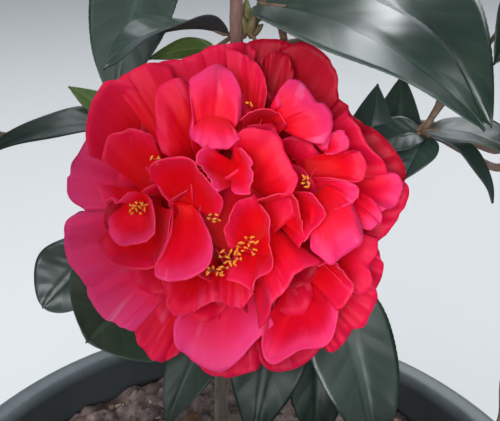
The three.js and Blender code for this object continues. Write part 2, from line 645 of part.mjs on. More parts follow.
// The bloom's petals, from the outer ones to the heart. Tip and root are in the measure of fromFront, and
// cup (degrees), arch, lip and wave bend the petal across, along, at its tip and round its margin
const PETALS = [
  { tip: [-62, 8, -8], root: [-12, 2, -20], width: 46, cup: 12, arch: -4, lip: 2, wave: 2 },
  { tip: [-62, -13, -5], root: [-12, -3, -20], width: 46, cup: 10, arch: -4, lip: 2, wave: 2 },
  { tip: [-51, -38, -3], root: [-10, -8, -20], width: 52, cup: 10, arch: -4, lip: 2, wave: 2.5 },
  { tip: [-30, -56, -4], root: [-6, -11, -20], width: 40, cup: 20, arch: -4, lip: 0, wave: 2 },
  { tip: [-5, -61, -2], root: [-1, -12, -20], width: 48, cup: 12, arch: -5, lip: 1, wave: 2.5 },
  { tip: [16, -59, -8], root: [3, -12, -20], width: 42, cup: 10, arch: -4, lip: 2, wave: 2 },
  { tip: [34, -51, -8], root: [7, -10, -20], width: 44, cup: 10, arch: -4, lip: 2, wave: 2 },
  { tip: [47, -37, -8], root: [9, -8, -20], width: 46, cup: 10, arch: -4, lip: 2, wave: 2 },
  { tip: [50, -20, -8], root: [10, -4, -20], width: 44, cup: 10, arch: -4, lip: 2, wave: 2 },
  { tip: [62, 5, -10], root: [12, 1, -20], width: 46, cup: 10, arch: -4, lip: 2, wave: 2 },
  { tip: [56, 21, -10], root: [11, 4, -20], width: 44, cup: 10, arch: -4, lip: 2, wave: 2 },
  { tip: [42, 35, -6], root: [8, 7, -20], width: 38, cup: 10, arch: -4, lip: 2, wave: 2 },
  { tip: [32, 55, -4], root: [6, 11, -20], width: 44, cup: 18, arch: -5, lip: 0, wave: 1 },
  { tip: [9, 61, -6], root: [2, 12, -20], width: 44, cup: 10, arch: -4, lip: 2, wave: 2 },
  { tip: [-10, 59, -6], root: [-2, 12, -20], width: 42, cup: 10, arch: -4, lip: 2, wave: 2 },
  { tip: [-31, 53, -8], root: [-6, 10, -20], width: 44, cup: 10, arch: -4, lip: 2, wave: 2 },
  { tip: [-50, 41, 2], root: [-10, 6, -12], width: 58, cup: 22, arch: -6, lip: 0, wave: 2 },
  { tip: [-23.5, 45, 6], root: [-12, 8, -8], width: 30, cup: -15, arch: 2, lip: 0, wave: 3 },
  { tip: [-9, 52, 4], root: [-8, 8, -4], width: 34, cup: -20, arch: 10, lip: 6, wave: 1.5 },
  { tip: [12, 55, 2], root: [6, 14, -8], width: 36, cup: 24, arch: -2, lip: 0, wave: 1.5 },
  { tip: [32, 25, 18], root: [8, 30, -8], width: 28, cup: -15, arch: 8, lip: 4, wave: 1 },
  { tip: [24, 42, 12], root: [8, 24, -8], width: 22, cup: -15, arch: 6, lip: 3, wave: 1 },
  { tip: [46, 15, 10], root: [18, 16, -8], width: 22, cup: 10, arch: 2, lip: 2, wave: 1 },
  { tip: [44, 7, 12], root: [16, 6, -8], width: 20, cup: 10, arch: 2, lip: 2, wave: 1 },
  { tip: [60, 9, 0], root: [20, 4, -10], width: 28, cup: 25, arch: 0, lip: 0, wave: 1 },
  { tip: [35, -20, 16], root: [22, 4, -6], width: 26, cup: -12, arch: 4, lip: 2, wave: 1 },
  { tip: [-17, -26, 24], root: [-15, 8, -6], width: 30, cup: 18, arch: -4, lip: 3, wave: 0.5 },
  { tip: [-20, 19, 14], root: [-16, -2, -8], width: 30, cup: 20, arch: -2, lip: 0, wave: 1 },
  { tip: [-37, -23, 18], root: [-22, 6, -8], width: 38, cup: 25, arch: -3, lip: 0, wave: 0.5 },
  { tip: [-38, -12, 20], root: [-26, 3, -6], width: 22, cup: 30, arch: 0, lip: 0, wave: 0.5 },
  { tip: [-11, 20, 24], root: [-2, 8, -4], width: 18, cup: 30, arch: 0, lip: 0, wave: 0.8 },
  { tip: [5, 13, 24], root: [0, 6, -4], width: 18, cup: 30, arch: 0, lip: 0, wave: 0.8 },
  { tip: [1, 27, 14], root: [0, 2, -6], width: 28, cup: 15, arch: 0, lip: 0, wave: 1.5 },
  { tip: [22, 10, 18], root: [8, 12, -6], width: 24, cup: 10, arch: 2, lip: 0, wave: 1 },
  { tip: [9, -27, 20], root: [-2, -4, -8], width: 34, cup: 22, arch: -3, lip: 1, wave: 3 },
  { tip: [31, 0, 18], root: [12, 2, -6], width: 22, cup: 25, arch: 0, lip: 0, wave: 1 },
  { tip: [20, -50, 6], root: [22, -10, -10], width: 36, cup: 40, arch: -6, lip: 0, wave: 0.5 },
  { tip: [11, -41, 12], root: [12, -6, -8], width: 28, cup: 15, arch: -2, lip: 0, wave: 1.5 },
  { tip: [-20, -39, 10], root: [-10, -12, -10], width: 26, cup: 12, arch: -2, lip: 0, wave: 2 },
  { tip: [46, -24, 2], root: [20, -8, -12], width: 26, cup: 12, arch: -2, lip: 0, wave: 1.5 },
];

function smooth(x) {
  const t = Math.min(Math.max(x, 0), 1);
  return t * t * (3 - 2 * t);
}

// A place on a petal, from x and y on a disc of radius 1, with x across and y from root to tip
function petalPoint(petal, x, y, phase) {
  const root = fromFront(petal.root);
  const tip = fromFront(petal.tip);
  const length = root.distanceTo(tip);
  const along = tip.clone().sub(root).normalize();
  const facing = FORWARD.clone().negate().addScaledVector(along, FORWARD.dot(along)).normalize();
  const across = along.clone().cross(facing);
  const s = (y + 1) / 2;
  const slope = (petal.arch * Math.PI * Math.cos(Math.PI * s) - 5 * petal.lip * s ** 4) / length;
  const normal = facing.clone().addScaledVector(along, -slope).normalize();
  const half = (petal.width / 2) * between([PETAL_ROOT_WIDTH, 1], smooth(s / PETAL_FULL_WIDTH_AT));
  const bend = THREE.MathUtils.degToRad(petal.cup) * (0.9 + 1.3 * s);
  const margin = Math.hypot(x, y) ** 4 * smooth(s * 1.4);
  const ruffle = petal.wave * margin * Math.sin(PETAL_WAVES * Math.atan2(x, y) + phase * Math.PI * 2);
  return root.addScaledVector(along, length * s)
    .addScaledVector(facing, petal.arch * Math.sin(Math.PI * s) - petal.lip * s ** 5)
    .addScaledVector(across, (half * Math.sin(bend * x)) / bend)
    .addScaledVector(normal, (half * (1 - Math.cos(bend * x))) / bend + ruffle);
}

// A petal's solid: a grid drawn into a disc, sharp at its margin and thick within
function petalSolid(petal, phase) {
  const positions = [];
  const indices = [];
  const row = PETAL_STEPS + 1;
  const step = 0.02;
  for (const layer of [1, -1]) {
    for (let i = 0; i <= PETAL_STEPS; i += 1) {
      for (let j = 0; j <= PETAL_STEPS; j += 1) {
        const a = (2 * j) / PETAL_STEPS - 1;
        const b = (2 * i) / PETAL_STEPS - 1;
        const x = a * Math.sqrt(1 - (b * b) / 2);
        const y = b * Math.sqrt(1 - (a * a) / 2);
        const here = petalPoint(petal, x, y, phase);
        const rim = i === 0 || j === 0 || i === PETAL_STEPS || j === PETAL_STEPS;
        if (!rim) {
          const right = petalPoint(petal, x + step, y, phase).sub(here);
          const onward = petalPoint(petal, x, y + step, phase).sub(here);
          here.addScaledVector(right.cross(onward).normalize(), (layer * PETAL_THICKNESS) / 2);
        }
        positions.push(here.x, here.y, here.z);
      }
    }
  }
  for (let i = 0; i < PETAL_STEPS; i += 1) {
    for (let j = 0; j < PETAL_STEPS; j += 1) {
      const a = i * row + j;
      const c = a + row;
      const under = row * row;
      indices.push(a, a + 1, c + 1, a, c + 1, c);
      indices.push(under + a, under + c + 1, under + a + 1, under + a, under + c, under + c + 1);
    }
  }
  return solidFrom(positions, indices);
}

// The bloom: petals round a heart, a calyx behind it and a short stalk that meets the trunk
function makeBloom(aroundTrunk) {
  const calyx = new THREE.SphereGeometry(1, ...CALYX_SEGMENTS);
  calyx.applyMatrix4(new THREE.Matrix4().makeScale(CALYX_RADIUS, CALYX_RADIUS, CALYX_DEPTH));
  calyx.applyMatrix4(new THREE.Matrix4().makeRotationX(Math.PI / 2 - EYE_DOWN));
  const place = fromFront([0, 0, -CALYX_DEPTH]);
  calyx.translate(place.x, place.y, place.z);
  const stalk = [...STALK.map(fromFront), trunkAt(STALK_FORK)];
  const stalkSolid = limb(stalk, taper(STALK_RADIUS, STALK_END_RADIUS), STALK_SIDES, STEM_STEPS);
  const solids = [solidOf(calyx), stalkSolid.subtract(aroundTrunk)];
  const random = seeded(BLOOM_SEED);
  for (const petal of PETALS) solids.push(petalSolid(petal, random()));
  addNode('bloom', fuse(solids, PETAL_FINENESS), 'petal');
}

makePot();
makeSoil();
const aroundTrunk = makeTrunk();
for (const mass of CROWN) makeBough(mass, aroundTrunk);
const sprays = SPRAYS.map(growSpray);
for (const grown of sprays) keepClearOfSpray(grown);
SPRAYS.forEach((spray, i) => makeMass(spray.name, sprays[i], aroundTrunk));

// Where a mass's stem starts, just beyond the end of its limb, and the way it starts in
function startBeyond(points) {
  const curve = new THREE.CatmullRomCurve3(points, false, 'catmullrom', 0.5);
  const direction = curve.getTangent(1);
  const tip = points[points.length - 1];
  return { start: tip.clone().addScaledVector(direction, GAP), direction };
}

ALL_MASSES.forEach((mass, number) => {
  const limbPoints = mass.via ? boughPoints(mass) : TRUNK;
  const { start, direction } = startBeyond(limbPoints);
  makeMass(mass.name, growMass(mass, start, direction, number + 1));
});
makeBloom(aroundTrunk);

export default shrub;
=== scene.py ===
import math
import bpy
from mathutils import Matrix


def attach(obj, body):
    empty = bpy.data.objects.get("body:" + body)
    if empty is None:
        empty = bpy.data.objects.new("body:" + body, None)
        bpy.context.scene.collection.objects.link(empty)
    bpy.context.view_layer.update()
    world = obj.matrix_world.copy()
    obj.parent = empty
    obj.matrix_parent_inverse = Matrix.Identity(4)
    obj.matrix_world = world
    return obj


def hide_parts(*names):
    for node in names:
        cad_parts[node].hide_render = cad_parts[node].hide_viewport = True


bl_info = {
    "name": "Potted Camellia",
    "version": (1, 0, 0),
    "blender": (4, 5, 0),
    "location": "3D View > Sidebar > Camellia",
    "description": "Dresses a camellia shrub in its pot with bark, leaves, soil and one large bloom",
    "category": "Add Mesh",
}

import bmesh
import bpy
import numpy as np
from mathutils import Matrix, Vector, noise

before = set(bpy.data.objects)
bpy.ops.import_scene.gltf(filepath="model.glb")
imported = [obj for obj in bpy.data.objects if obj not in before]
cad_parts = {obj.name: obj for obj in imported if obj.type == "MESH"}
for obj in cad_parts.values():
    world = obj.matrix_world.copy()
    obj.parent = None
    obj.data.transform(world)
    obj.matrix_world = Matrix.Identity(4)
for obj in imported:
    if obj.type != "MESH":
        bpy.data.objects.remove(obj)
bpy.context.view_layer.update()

# Shapes are worked out in millimetres, and each finished mesh is scaled to metres
MM = 0.001
# The camera's focal length and the picture's width, both in pixels
PHOTO_WIDTH = 500
PHOTO_FOCAL = 624
UP = Vector((0, 0, 1))

# The eye point that the bloom faces: its place, its tilt, how far off the bloom is and how far beside its aim
EYE = Vector((7.6, -189, 551))
EYE_DOWN = math.radians(27)
EYE_DISTANCE = 226
BLOOM_ASIDE = (-4.7, 0.9)
# The crown stays out of the opening before the eye point, but may stand hidden behind the bloom
OPENING_HALF_WIDTH = 94
OPENING_HALF_HEIGHT = 80
HIDDEN_RADIUS = 53
HIDDEN_DEPTH = 264
# The eye point's own directions
FORWARD = Vector((0, math.cos(EYE_DOWN), -math.sin(EYE_DOWN)))
UPWARD = Vector((0, math.sin(EYE_DOWN), math.cos(EYE_DOWN)))
SIDEWAYS = Vector((1, 0, 0))
TO_EYE = (-FORWARD).to_track_quat("Z", "Y").to_matrix()

# The pot and its soil
POT_HEIGHT = 280
POT_RIM_RADIUS = 173
POT_FOOT_RADIUS = 116
POT_WALL = 5
POT_LIP_WIDTH = 20
POT_LIP_DEPTH = 26
POT_INNER = POT_RIM_RADIUS - POT_LIP_WIDTH
POT_LIP_FOOT = POT_HEIGHT - POT_LIP_DEPTH
# From the middle of the underside, up the outside, over the lip and down to the floor inside
POT_OUTLINE = [
    (0, 0), (POT_FOOT_RADIUS - 4, 0), (POT_FOOT_RADIUS, 4), (POT_INNER + 2, POT_LIP_FOOT - 2),
    (POT_RIM_RADIUS - 4, POT_LIP_FOOT), (POT_RIM_RADIUS - 1, POT_LIP_FOOT + 5),
    (POT_RIM_RADIUS, POT_HEIGHT - 11), (POT_RIM_RADIUS - 2.5, POT_HEIGHT - 4),
    (POT_RIM_RADIUS - 8, POT_HEIGHT), (POT_INNER + 5, POT_HEIGHT - 1), (POT_INNER, POT_HEIGHT - 5),
    (POT_INNER - 2, POT_HEIGHT - 16),
    (POT_INNER - POT_WALL, POT_LIP_FOOT - 6), (POT_FOOT_RADIUS - POT_WALL, 10), (0, 9),
]
# Where the painted highlight on the lip's crest starts, in metres
CREST_HIGHLIGHT_RADIUS = 0.15
CREST_HIGHLIGHT_HEIGHT = 0.27
SOIL_LEVEL = 258
SOIL_FLOOR = 10.5
SOIL_WALL = (POT_INNER - POT_WALL - 1, POT_LIP_FOOT - 6)
SOIL_EDGE = POT_INNER - POT_WALL + 0.4
SOIL_RINGS = 96
SOIL_STEPS = 300
CLODS_A_MILLIMETRE = 0.09
CLOD_RISE = 3.4
LUMP_RISE = 3
SOIL_SINK = 2.2

# The litter on the soil: draws below the first share are clods, then chips, then leaf bits, the rest is bare
CLOD_SHARE = 0.62
CHIP_SHARE = 0.9
LEAF_BIT_SHARE = 0.93
CLOD_SIZES = (2.4, 2, 1.6)
CHIP_SIZES = (5.5, 2.2, 0.9)
LEAF_BIT_HALF_WIDTH = 7
LEAF_BIT_LENGTH = 26
LITTER_RISE = 0.4
CLEAR_OF_TRUNK = 14
CLEAR_OF_WALL = 6

# The first number of each piece's row of seeded numbers
LITTER_SEED = 41
LEAF_TINT_SEED = 77
PETAL_SEED = 300
FILLER_SEED = 700
STAMEN_SEED = 19

# The radii of the wood: the trunk flares out at the soil, and each bough at its fork
TRUNK_RADIUS = 4.3
TRUNK_TIP_RADIUS = 1.9
FLARE_RADIUS = 4.5
FLARE_HEIGHT = 14
BOUGH_RADIUS = 2.5
BOUGH_TIP_RADIUS = 1.7
FORK_FLARE = 1.3
FORK_FADE = 26
TWIG_RADIUS = 1.5
# The bloom's stalk leaves the trunk at this height
STALK_HEIGHT = 428
STALK_RADII = (3, 2.2)
# How far apart two limbs stand where one ends at the other
GAP = 0.35

# The crown's space and the rule that its twigs and leaves grow by: how many, how long, how wide for their
# length, how full at both ends, how often each is tried, and how far they keep from each other and the wood
CROWN_CENTRE = Vector((0, 32, 500))
CROWN_REACH = Vector((236, 230, 252))
CROWN_FLOOR = 292
LEAF_LENGTH = (72, 98)
LEAF_WIDTH = 0.46
LEAF_START = 0.55
LEAF_END = 0.95
TWIGS_A_MASS = 7
TWIG_LENGTH = (22, 40)
LEAVES_A_TWIG = 3
TRIES_A_LEAF = 12
LEAVES_APART = 5
LEAF_GAP = 7
SPRAY_GAP = 4
SPACES_APART = 0.6
STEM_PAST_MIDDLE = 12
GOLDEN_ANGLE = 2.39996
# Each order of finer shoots grows from the one before, this many on a stem, on a twig and on a shoot
FINER_ORDERS = 2
SHOOTS_ON_STEM = 10
SHOOTS_ON_TWIG = 4
SHOOTS_ON_SHOOT = 3
FINER_LEAVES_A_TWIG = 4
FINER_TRIES = 8
FINER_LEAF_LENGTH = (46, 80)
SHOOT_LENGTH = (24, 52)
FINER_LEAVES_APART = 2.2
FINER_GAP = 2.5
BUD_LENGTH = 7
# The first masses of the crown make up its upper leaves
UPPER_MASSES = 8

# The soft lights: size in metres, share of the stage's light, place and the point that each looks at
LIGHTS = (
    ("Sky Light", 3.4, 1.0, (0.8, 0.5, 2.7), (0, 0, 0.45)),
    ("Front Fill", 2.2, 0.52, (-0.85, -2.4, 1.4), (0, 0, 0.45)),
    ("Left Fill", 1.4, 0.26, (-1.4, -0.6, 1.9), (0, 0, 0.5)),
)
LIGHT_COLOUR = (0.95, 0.985, 1)
WORLD_COLOUR = (0.85, 0.9, 1, 1)
WORLD_STRENGTH = 0.95

# How finely the wood, the leaves and the petals are made: steps round or across, and steps along
TRUNK_STEPS = (28, 420)
BOUGH_STEPS = (20, 170)
STALK_STEPS = (20, 60)
PETAL_STEPS = (30, 20)
FILLER_STEPS = (14, 10)
CROWN_LEAF_ROWS = 10
NEAR_LEAF_COLUMNS = 16
NEAR_LEAF_TEETH = 34
NEAR_LEAF_VEINS = 7
# Their relief: the depth of the teeth as a share of the leaf's half width, and how far the face puffs up
# between the veins, sinks at the midrib, swells and waves, as shares of the leaf's width
TOOTH_DEPTH = 0.016
VEIN_PUFF = 0.007
RIB_GROOVE = 0.02
LEAF_SWELL = 0.022
LEAF_WAVE = 0.03
# A petal is this wide at its foot each way, its lip is notched by this share of its length, and it crumples
# by this much in each of three sizes of fold
PETAL_FOOT = 4
PETAL_NOTCH = 0.05
CRUMPLES = (1.1, 1.05, 0.6)
# The small petals inside the bloom: how many, how far from its middle they start and how much further they
# spread, and the number of the first
FILLER_PETALS = 46
FILLER_REACH = (12, 40)
FIRST_FILLER = 100
# Where the midrib's finish and the finishes of the under faces stand among those of a piece of leaves
LEAF_RIB = 4
UNDER_FINISHES_AT = 5


class Wire:
    """A value on its way through a shader: sums on it add Math nodes."""

    def __init__(self, tree, socket):
        self.tree = tree
        self.socket = socket

    def _math(self, operation, first, second):
        node = self.tree.nodes.new("ShaderNodeMath")
        node.operation = operation
        plug(self.tree, node.inputs[0], first)
        plug(self.tree, node.inputs[1], second)
        return Wire(self.tree, node.outputs[0])

    def __add__(self, other):
        return self._math("ADD", self, other)

    def __radd__(self, other):
        return self._math("ADD", other, self)

    def __sub__(self, other):
        return self._math("SUBTRACT", self, other)

    def __rsub__(self, other):
        return self._math("SUBTRACT", other, self)

    def __mul__(self, other):
        return self._math("MULTIPLY", self, other)

    def __rmul__(self, other):
        return self._math("MULTIPLY", other, self)

    def __pow__(self, other):
        return self._math("POWER", self, other)


def plug(tree, socket, value):
    """Links a wire to a socket, or sets the socket to a plain value."""
    if isinstance(value, Wire):
        tree.links.new(value.socket, socket)
    else:
        socket.default_value = value


class Finish:
    """A material in the making, on one Principled surface."""

    def __init__(self, name):
        self.material = bpy.data.materials.new(name)
        self.material.use_nodes = True
        self.tree = self.material.node_tree
        self.surface = self.tree.nodes["Principled BSDF"]

    def node(self, kind, settings=None, sockets=None, output=0):
        """Adds a node with its settings and what its sockets take, and gives one of its outputs."""
        node = self.tree.nodes.new(kind)
        for name, value in (settings or {}).items():
            if name == "stops":
                self._set_stops(node.color_ramp, value)
            else:
                setattr(node, name, value)
        for name, value in (sockets or {}).items():
            plug(self.tree, node.inputs[name], value)
        return Wire(self.tree, node.outputs[output])

    def _set_stops(self, ramp, stops):
        while len(ramp.elements) < len(stops):
            ramp.elements.new(1)
        for element, (position, colour) in zip(ramp.elements, stops):
            element.position = position
            element.color = colour

    def ramp(self, factor, *stops):
        """Colours by a value: each stop is a place and an RGB colour."""
        filled = [(place, (*colour[:3], 1)) for place, colour in stops]
        return self.node("ShaderNodeValToRGB", {"stops": filled}, {"Fac": factor})

    def level(self, factor, *stops):
        """Numbers by a value: each stop is a place and a height."""
        return self.ramp(factor, *[(place, (height,) * 3) for place, height in stops])

    def mix(self, factor, first, second, blend="MIX"):
        node = self.tree.nodes.new("ShaderNodeMix")
        node.data_type = "RGBA"
        node.blend_type = blend
        plug(self.tree, node.inputs[0], factor)
        for index, value in ((6, first), (7, second)):
            plug(self.tree, node.inputs[index], value if isinstance(value, Wire) else (*value[:3], 1))
        return Wire(self.tree, node.outputs[2])

    def place(self):
        return self.node("ShaderNodeTexCoord", output="Object")

    def parts(self, vector=None):
        """The three numbers of a vector, or of the place on the plant."""
        node = self.tree.nodes.new("ShaderNodeSeparateXYZ")
        plug(self.tree, node.inputs[0], vector or self.place())
        return [Wire(self.tree, output) for output in node.outputs]

    def chart(self):
        """The piece's own UV map, as its two numbers and as one vector."""
        vector = self.node("ShaderNodeTexCoord", output="UV")
        across, along, _ = self.parts(vector)
        return across, along, vector

    def speckle(self, scale, detail=3, roughness=0.5, vector=None):
        sockets = {"Scale": scale, "Detail": detail, "Roughness": roughness}
        sockets["Vector"] = vector or self.place()
        return self.node("ShaderNodeTexNoise", sockets=sockets)

    def stretched(self, vector, scale):
        return self.node("ShaderNodeMapping", sockets={"Vector": vector, "Scale": scale})

    def added(self, first, second):
        return self.node("ShaderNodeVectorMath", {"operation": "ADD"}, {0: first, 1: second})

    def leaf_veins(self, across, along):
        """How far a place is from the midrib, and a saw of values that is 0 on each side vein."""
        from_rib = self.node("ShaderNodeMath", {"operation": "ABSOLUTE"}, {0: across - 0.5})
        comb = {0: along * 7 - from_rib * 2.8, 1: 0.5}
        return from_rib, self.node("ShaderNodeMath", {"operation": "PINGPONG"}, comb)

    def bump(self, height, distance, strength=1.0):
        relief = {"Height": height, "Distance": distance, "Strength": strength}
        self.set({"Normal": self.node("ShaderNodeBump", sockets=relief)})

    def set(self, values):
        for name, value in values.items():
            plug(self.tree, self.surface.inputs[name], value)
        return self


def seeded(seed):
    """The same row of numbers for the same seed, each from 0 to 1."""
    state = (seed * 7919 + 104729) % 2147483647

    def draw():
        nonlocal state
        state = (state * 16807) % 2147483647
        return state / 2147483647

    return draw


def smooth(x):
    t = min(max(x, 0.0), 1.0)
    return t * t * (3 - 2 * t)


def from_front(place):
    """A place given as the eye point sees it: u right and v up from the bloom's middle, w towards the eye."""
    u, v, w = place
    distance = EYE_DISTANCE - w
    spread = distance / EYE_DISTANCE
    aside = SIDEWAYS * ((u + BLOOM_ASIDE[0]) * spread) + UPWARD * ((v + BLOOM_ASIDE[1]) * spread)
    return EYE + FORWARD * distance + aside


def direction_from_front(direction):
    u, v, w = direction
    return (SIDEWAYS * u + UPWARD * v - FORWARD * w).normalized()


class Curve:
    """A smooth curve through points."""

    def __init__(self, points):
        self.points = [Vector(p) for p in points]

    def point(self, t):
        points = self.points
        place = (len(points) - 1) * min(max(t, 0.0), 1.0)
        index = min(int(place), len(points) - 2)
        weight = place - index
        start, end = points[index], points[index + 1]
        before = points[index - 1] if index > 0 else start * 2 - end
        after = points[index + 2] if index + 2 < len(points) else end * 2 - start
        out, into = (end - before) * 0.5, (after - start) * 0.5
        square = (end - start) * 3 - out * 2 - into
        cube = (start - end) * 2 + out + into
        return start + (out + (square + cube * weight) * weight) * weight

    def tangent(self, t):
        step = 0.0001
        low, high = max(t - step, 0.0), min(t + step, 1.0)
        return (self.point(high) - self.point(low)).normalized()

    def length(self, steps=40):
        places = [self.point(i / steps) for i in range(steps + 1)]
        return sum((b - a).length for a, b in zip(places, places[1:]))


def add_sheet(shape, columns, rows, place, tint=0):
    """Adds a grid whose vertices go where place(x, y) says, x across from -1 to 1 and y along from 0 to 1."""
    made = bmesh.ops.create_grid(shape, x_segments=columns, y_segments=rows, size=1, calc_uvs=True)["verts"]
    for face in {face for vertex in made for face in vertex.link_faces}:
        middle = face.calc_center_median()
        face.material_index = tint(middle.x, (middle.y + 1) / 2) if callable(tint) else tint
        face.smooth = True
    for vertex in made:
        vertex.co = place(vertex.co.x, (vertex.co.y + 1) / 2)
    return made


def add_limb(shape, points, radius_at, sides, steps, relief=None, tint=0):
    """Adds a closed tube along a smooth curve, of a radius that changes on the way."""
    curve = Curve(points)
    rings = []
    side = Vector((1, 0, 0))
    for i in range(steps + 1):
        along = curve.tangent(i / steps)
        side = side - along * side.dot(along)
        if side.length < 1e-3:
            side = Vector((0, 1, 0)) - along * along.y
        side.normalize()
        rings.append((curve.point(i / steps), side.copy(), along.cross(side)))

    def place(x, y):
        middle, side, other = rings[round(y * steps)]
        spread = side * math.cos(math.pi * x) + other * math.sin(math.pi * x)
        radius = radius_at(y)
        spot = middle + spread * radius
        return spot + spread * relief(spot, radius) if relief else spot

    made = add_sheet(shape, sides, steps, place, tint)
    close_tube(shape, made)


def close_tube(shape, made):
    """Joins a rolled sheet along its seam, and closes both ends."""
    bmesh.ops.remove_doubles(shape, verts=made, dist=1e-4)
    edges = {edge for vertex in made if vertex.is_valid for edge in vertex.link_edges if edge.is_boundary}
    if edges:
        bmesh.ops.holes_fill(shape, edges=list(edges), sides=0)


def new_shape():
    shape = bmesh.new()
    shape.loops.layers.uv.new("UVMap")
    return shape


def finish_piece(shape, name, materials, replaced=(), modifiers=()):
    """Turns a shape in millimetres into a piece in metres that rides on the plant."""
    bmesh.ops.scale(shape, vec=(MM, MM, MM), verts=shape.verts)
    mesh = bpy.data.meshes.new(name)
    shape.to_mesh(mesh)
    shape.free()
    for material in materials:
        mesh.materials.append(material)
    piece = bpy.data.objects.new(name, mesh)
    bpy.context.scene.collection.objects.link(piece)
    for kind, settings in modifiers:
        modifier = piece.modifiers.new(kind.title(), kind)
        for key, value in settings.items():
            setattr(modifier, key, value)
    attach(piece, "root")
    if replaced:
        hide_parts(*replaced)
    return piece


# The trunk leans back from the bloom, and its foot flares out at the soil
TRUNK = [
    (-6, 46, SOIL_LEVEL + GAP), (-6.5, 46.4, 274), (-8, 47, 292), (-6, 49, 340),
    (-3, 52, 400), (1, 55, 460), (2.4, 57, 505), (0, 60, 550), (-5, 60, 590),
]

# The crown: each mass of foliage with its middle, where its bough leaves the trunk and what it passes
CROWN = [
    ("high_front", 556, [(2, 22, 590)], (2, -28, 622)),
    ("high_left", 528, [(-38, 52, 562)], (-92, 28, 602)),
    ("high_right", 541, [(40, 54, 572)], (95, 34, 598)),
    ("high_back", 534, [(4, 92, 570)], (5, 130, 606)),
    ("left", 446, [(-24, 80, 448), (-66, 82, 458), (-104, 72, 454)], (-132, 42, 500)),
    ("right", 414, [(40, 80, 440), (90, 91, 449), (121, 74, 439)], (138, 52, 494)),
    ("front_left", 284, [(-62, 8, 316), (-108, -42, 375)], (-108, -74, 474)),
    ("front_right", 296, [(66, 6, 322), (112, -40, 378)], (114, -72, 466)),
    ("back_left", 392, [(-38, 88, 434), (-75, 106, 448), (-120, 114, 440)], (-142, 120, 486)),
    ("back_right", 402, [(44, 102, 440), (96, 114, 446), (138, 118, 430)], (148, 122, 480)),
    ("low_left", 302, [(-46, 36, 312), (-112, 24, 324)], (-134, 46, 392)),
    ("low_right", 310, [(46, 38, 316), (118, 26, 322)], (140, 52, 386)),
    ("low_back", 350, [(0, 86, 368)], (2, 138, 396)),
    ("low_front", 272, [(0, 8, 298)], (0, -66, 366)),
    ("top", None, None, (-4, 54, 652)),
]
MIDDLES = [Vector(middle) for _, _, _, middle in CROWN]


def trunk_radius(t):
    height = t * (TRUNK[-1][2] - SOIL_LEVEL)
    flare = FLARE_RADIUS * math.exp(-height / FLARE_HEIGHT)
    return TRUNK_RADIUS + (TRUNK_TIP_RADIUS - TRUNK_RADIUS) * t + flare


def taper(start, end):
    return lambda t: start + (end - start) * t


def trunk_at(height):
    index = 1
    while index < len(TRUNK) - 1 and TRUNK[index][2] < height:
        index += 1
    low, high = Vector(TRUNK[index - 1]), Vector(TRUNK[index])
    return low.lerp(high, (height - low.z) / (high.z - low.z))


def bough_points(fork, via, middle):
    last = Vector(via[-1])
    return [trunk_at(fork), *[Vector(p) for p in via], last.lerp(Vector(middle), 0.42)]


class Clearance:
    """The balls that leaves and twigs keep clear of."""

    def __init__(self):
        self.rows = []
        self.table = None

    def add(self, centre, radius):
        self.rows.append((*centre, radius))

    def add_limb(self, points, radius_at):
        curve = Curve(points)
        count = math.ceil(curve.length(200) / 5)
        for i in range(count + 1):
            self.add(curve.point(i / count), radius_at(i / count))

    def clear(self, samples, gap):
        if self.table is None:
            self.table = np.array(self.rows)
        apart = np.linalg.norm(samples[:, None, :] - self.table[None, :, :3], axis=2)
        return bool((apart > self.table[:, 3] + gap).all())


def in_own_space(samples, index, margin):
    """True where every sample is nearer to this mass's middle than to any other's."""
    for other, middle in enumerate(MIDDLES):
        if other != index:
            between = (MIDDLES[index] + middle) / 2
            apart = (middle - MIDDLES[index]).normalized()
            if ((samples - np.array(between)) @ np.array(apart) >= -margin).any():
                return False
    return True


def in_crown(samples):
    out = (samples - np.array(CROWN_CENTRE)) / np.array(CROWN_REACH)
    return bool(((out ** 2).sum(axis=1) < 1).all() and (samples[:, 2] > CROWN_FLOOR).all())


def in_opening(samples):
    """True where a sample would stand between the eye point and what it sees of the bloom and its leaves."""
    from_eye = samples - np.array(EYE)
    depth = from_eye @ np.array(FORWARD)
    ahead = depth > 0
    safe = np.where(ahead, depth, 1)
    u = (from_eye @ np.array(SIDEWAYS)) * EYE_DISTANCE / safe
    v = (from_eye @ np.array(UPWARD)) * EYE_DISTANCE / safe
    within = (abs(u) <= OPENING_HALF_WIDTH) & (abs(v) <= OPENING_HALF_HEIGHT)
    behind = (np.hypot(u - BLOOM_ASIDE[0], v - BLOOM_ASIDE[1]) < HIDDEN_RADIUS) & (depth > HIDDEN_DEPTH)
    return bool((ahead & within & ~behind).any())


def fits(samples, index, gap, own_leaves, clearance, apart=LEAVES_APART):
    if not in_crown(samples) or in_opening(samples) or not in_own_space(samples, index, SPACES_APART):
        return False
    if own_leaves:
        others = np.concatenate(own_leaves)
        if (np.linalg.norm(samples[:, None, :] - others[None, :, :], axis=2) < apart).any():
            return False
    return clearance.clear(samples, gap)


def leaf_axes(leaf):
    along = (leaf["tip"] - leaf["base"]).normalized()
    face = leaf["facing"] - along * leaf["facing"].dot(along)
    face.normalize()
    return along, face, along.cross(face)


def leaf_point(leaf, axes, s, t, width_here):
    """A place on a leaf, s from base to tip and t across from -1 to 1."""
    face, across = axes[1], axes[2]
    half = leaf["width"] / 2 * width_here * t
    twist = leaf.get("twist", 0) * (s - 0.4)
    sway = leaf.get("sway", 0) * 4 * s * (1 - s)
    sideways = across * math.cos(twist) + face * math.sin(twist)
    upright = face * math.cos(twist) - across * math.sin(twist)
    droop = leaf.get("droop", 0) * s ** 4
    rise = leaf["arch"] * 4 * s * (1 - s) - droop
    spine = leaf["base"].lerp(leaf["tip"], s) + across * sway + face * rise
    return spine + sideways * half + upright * (abs(half) * math.tan(leaf["fold"]))


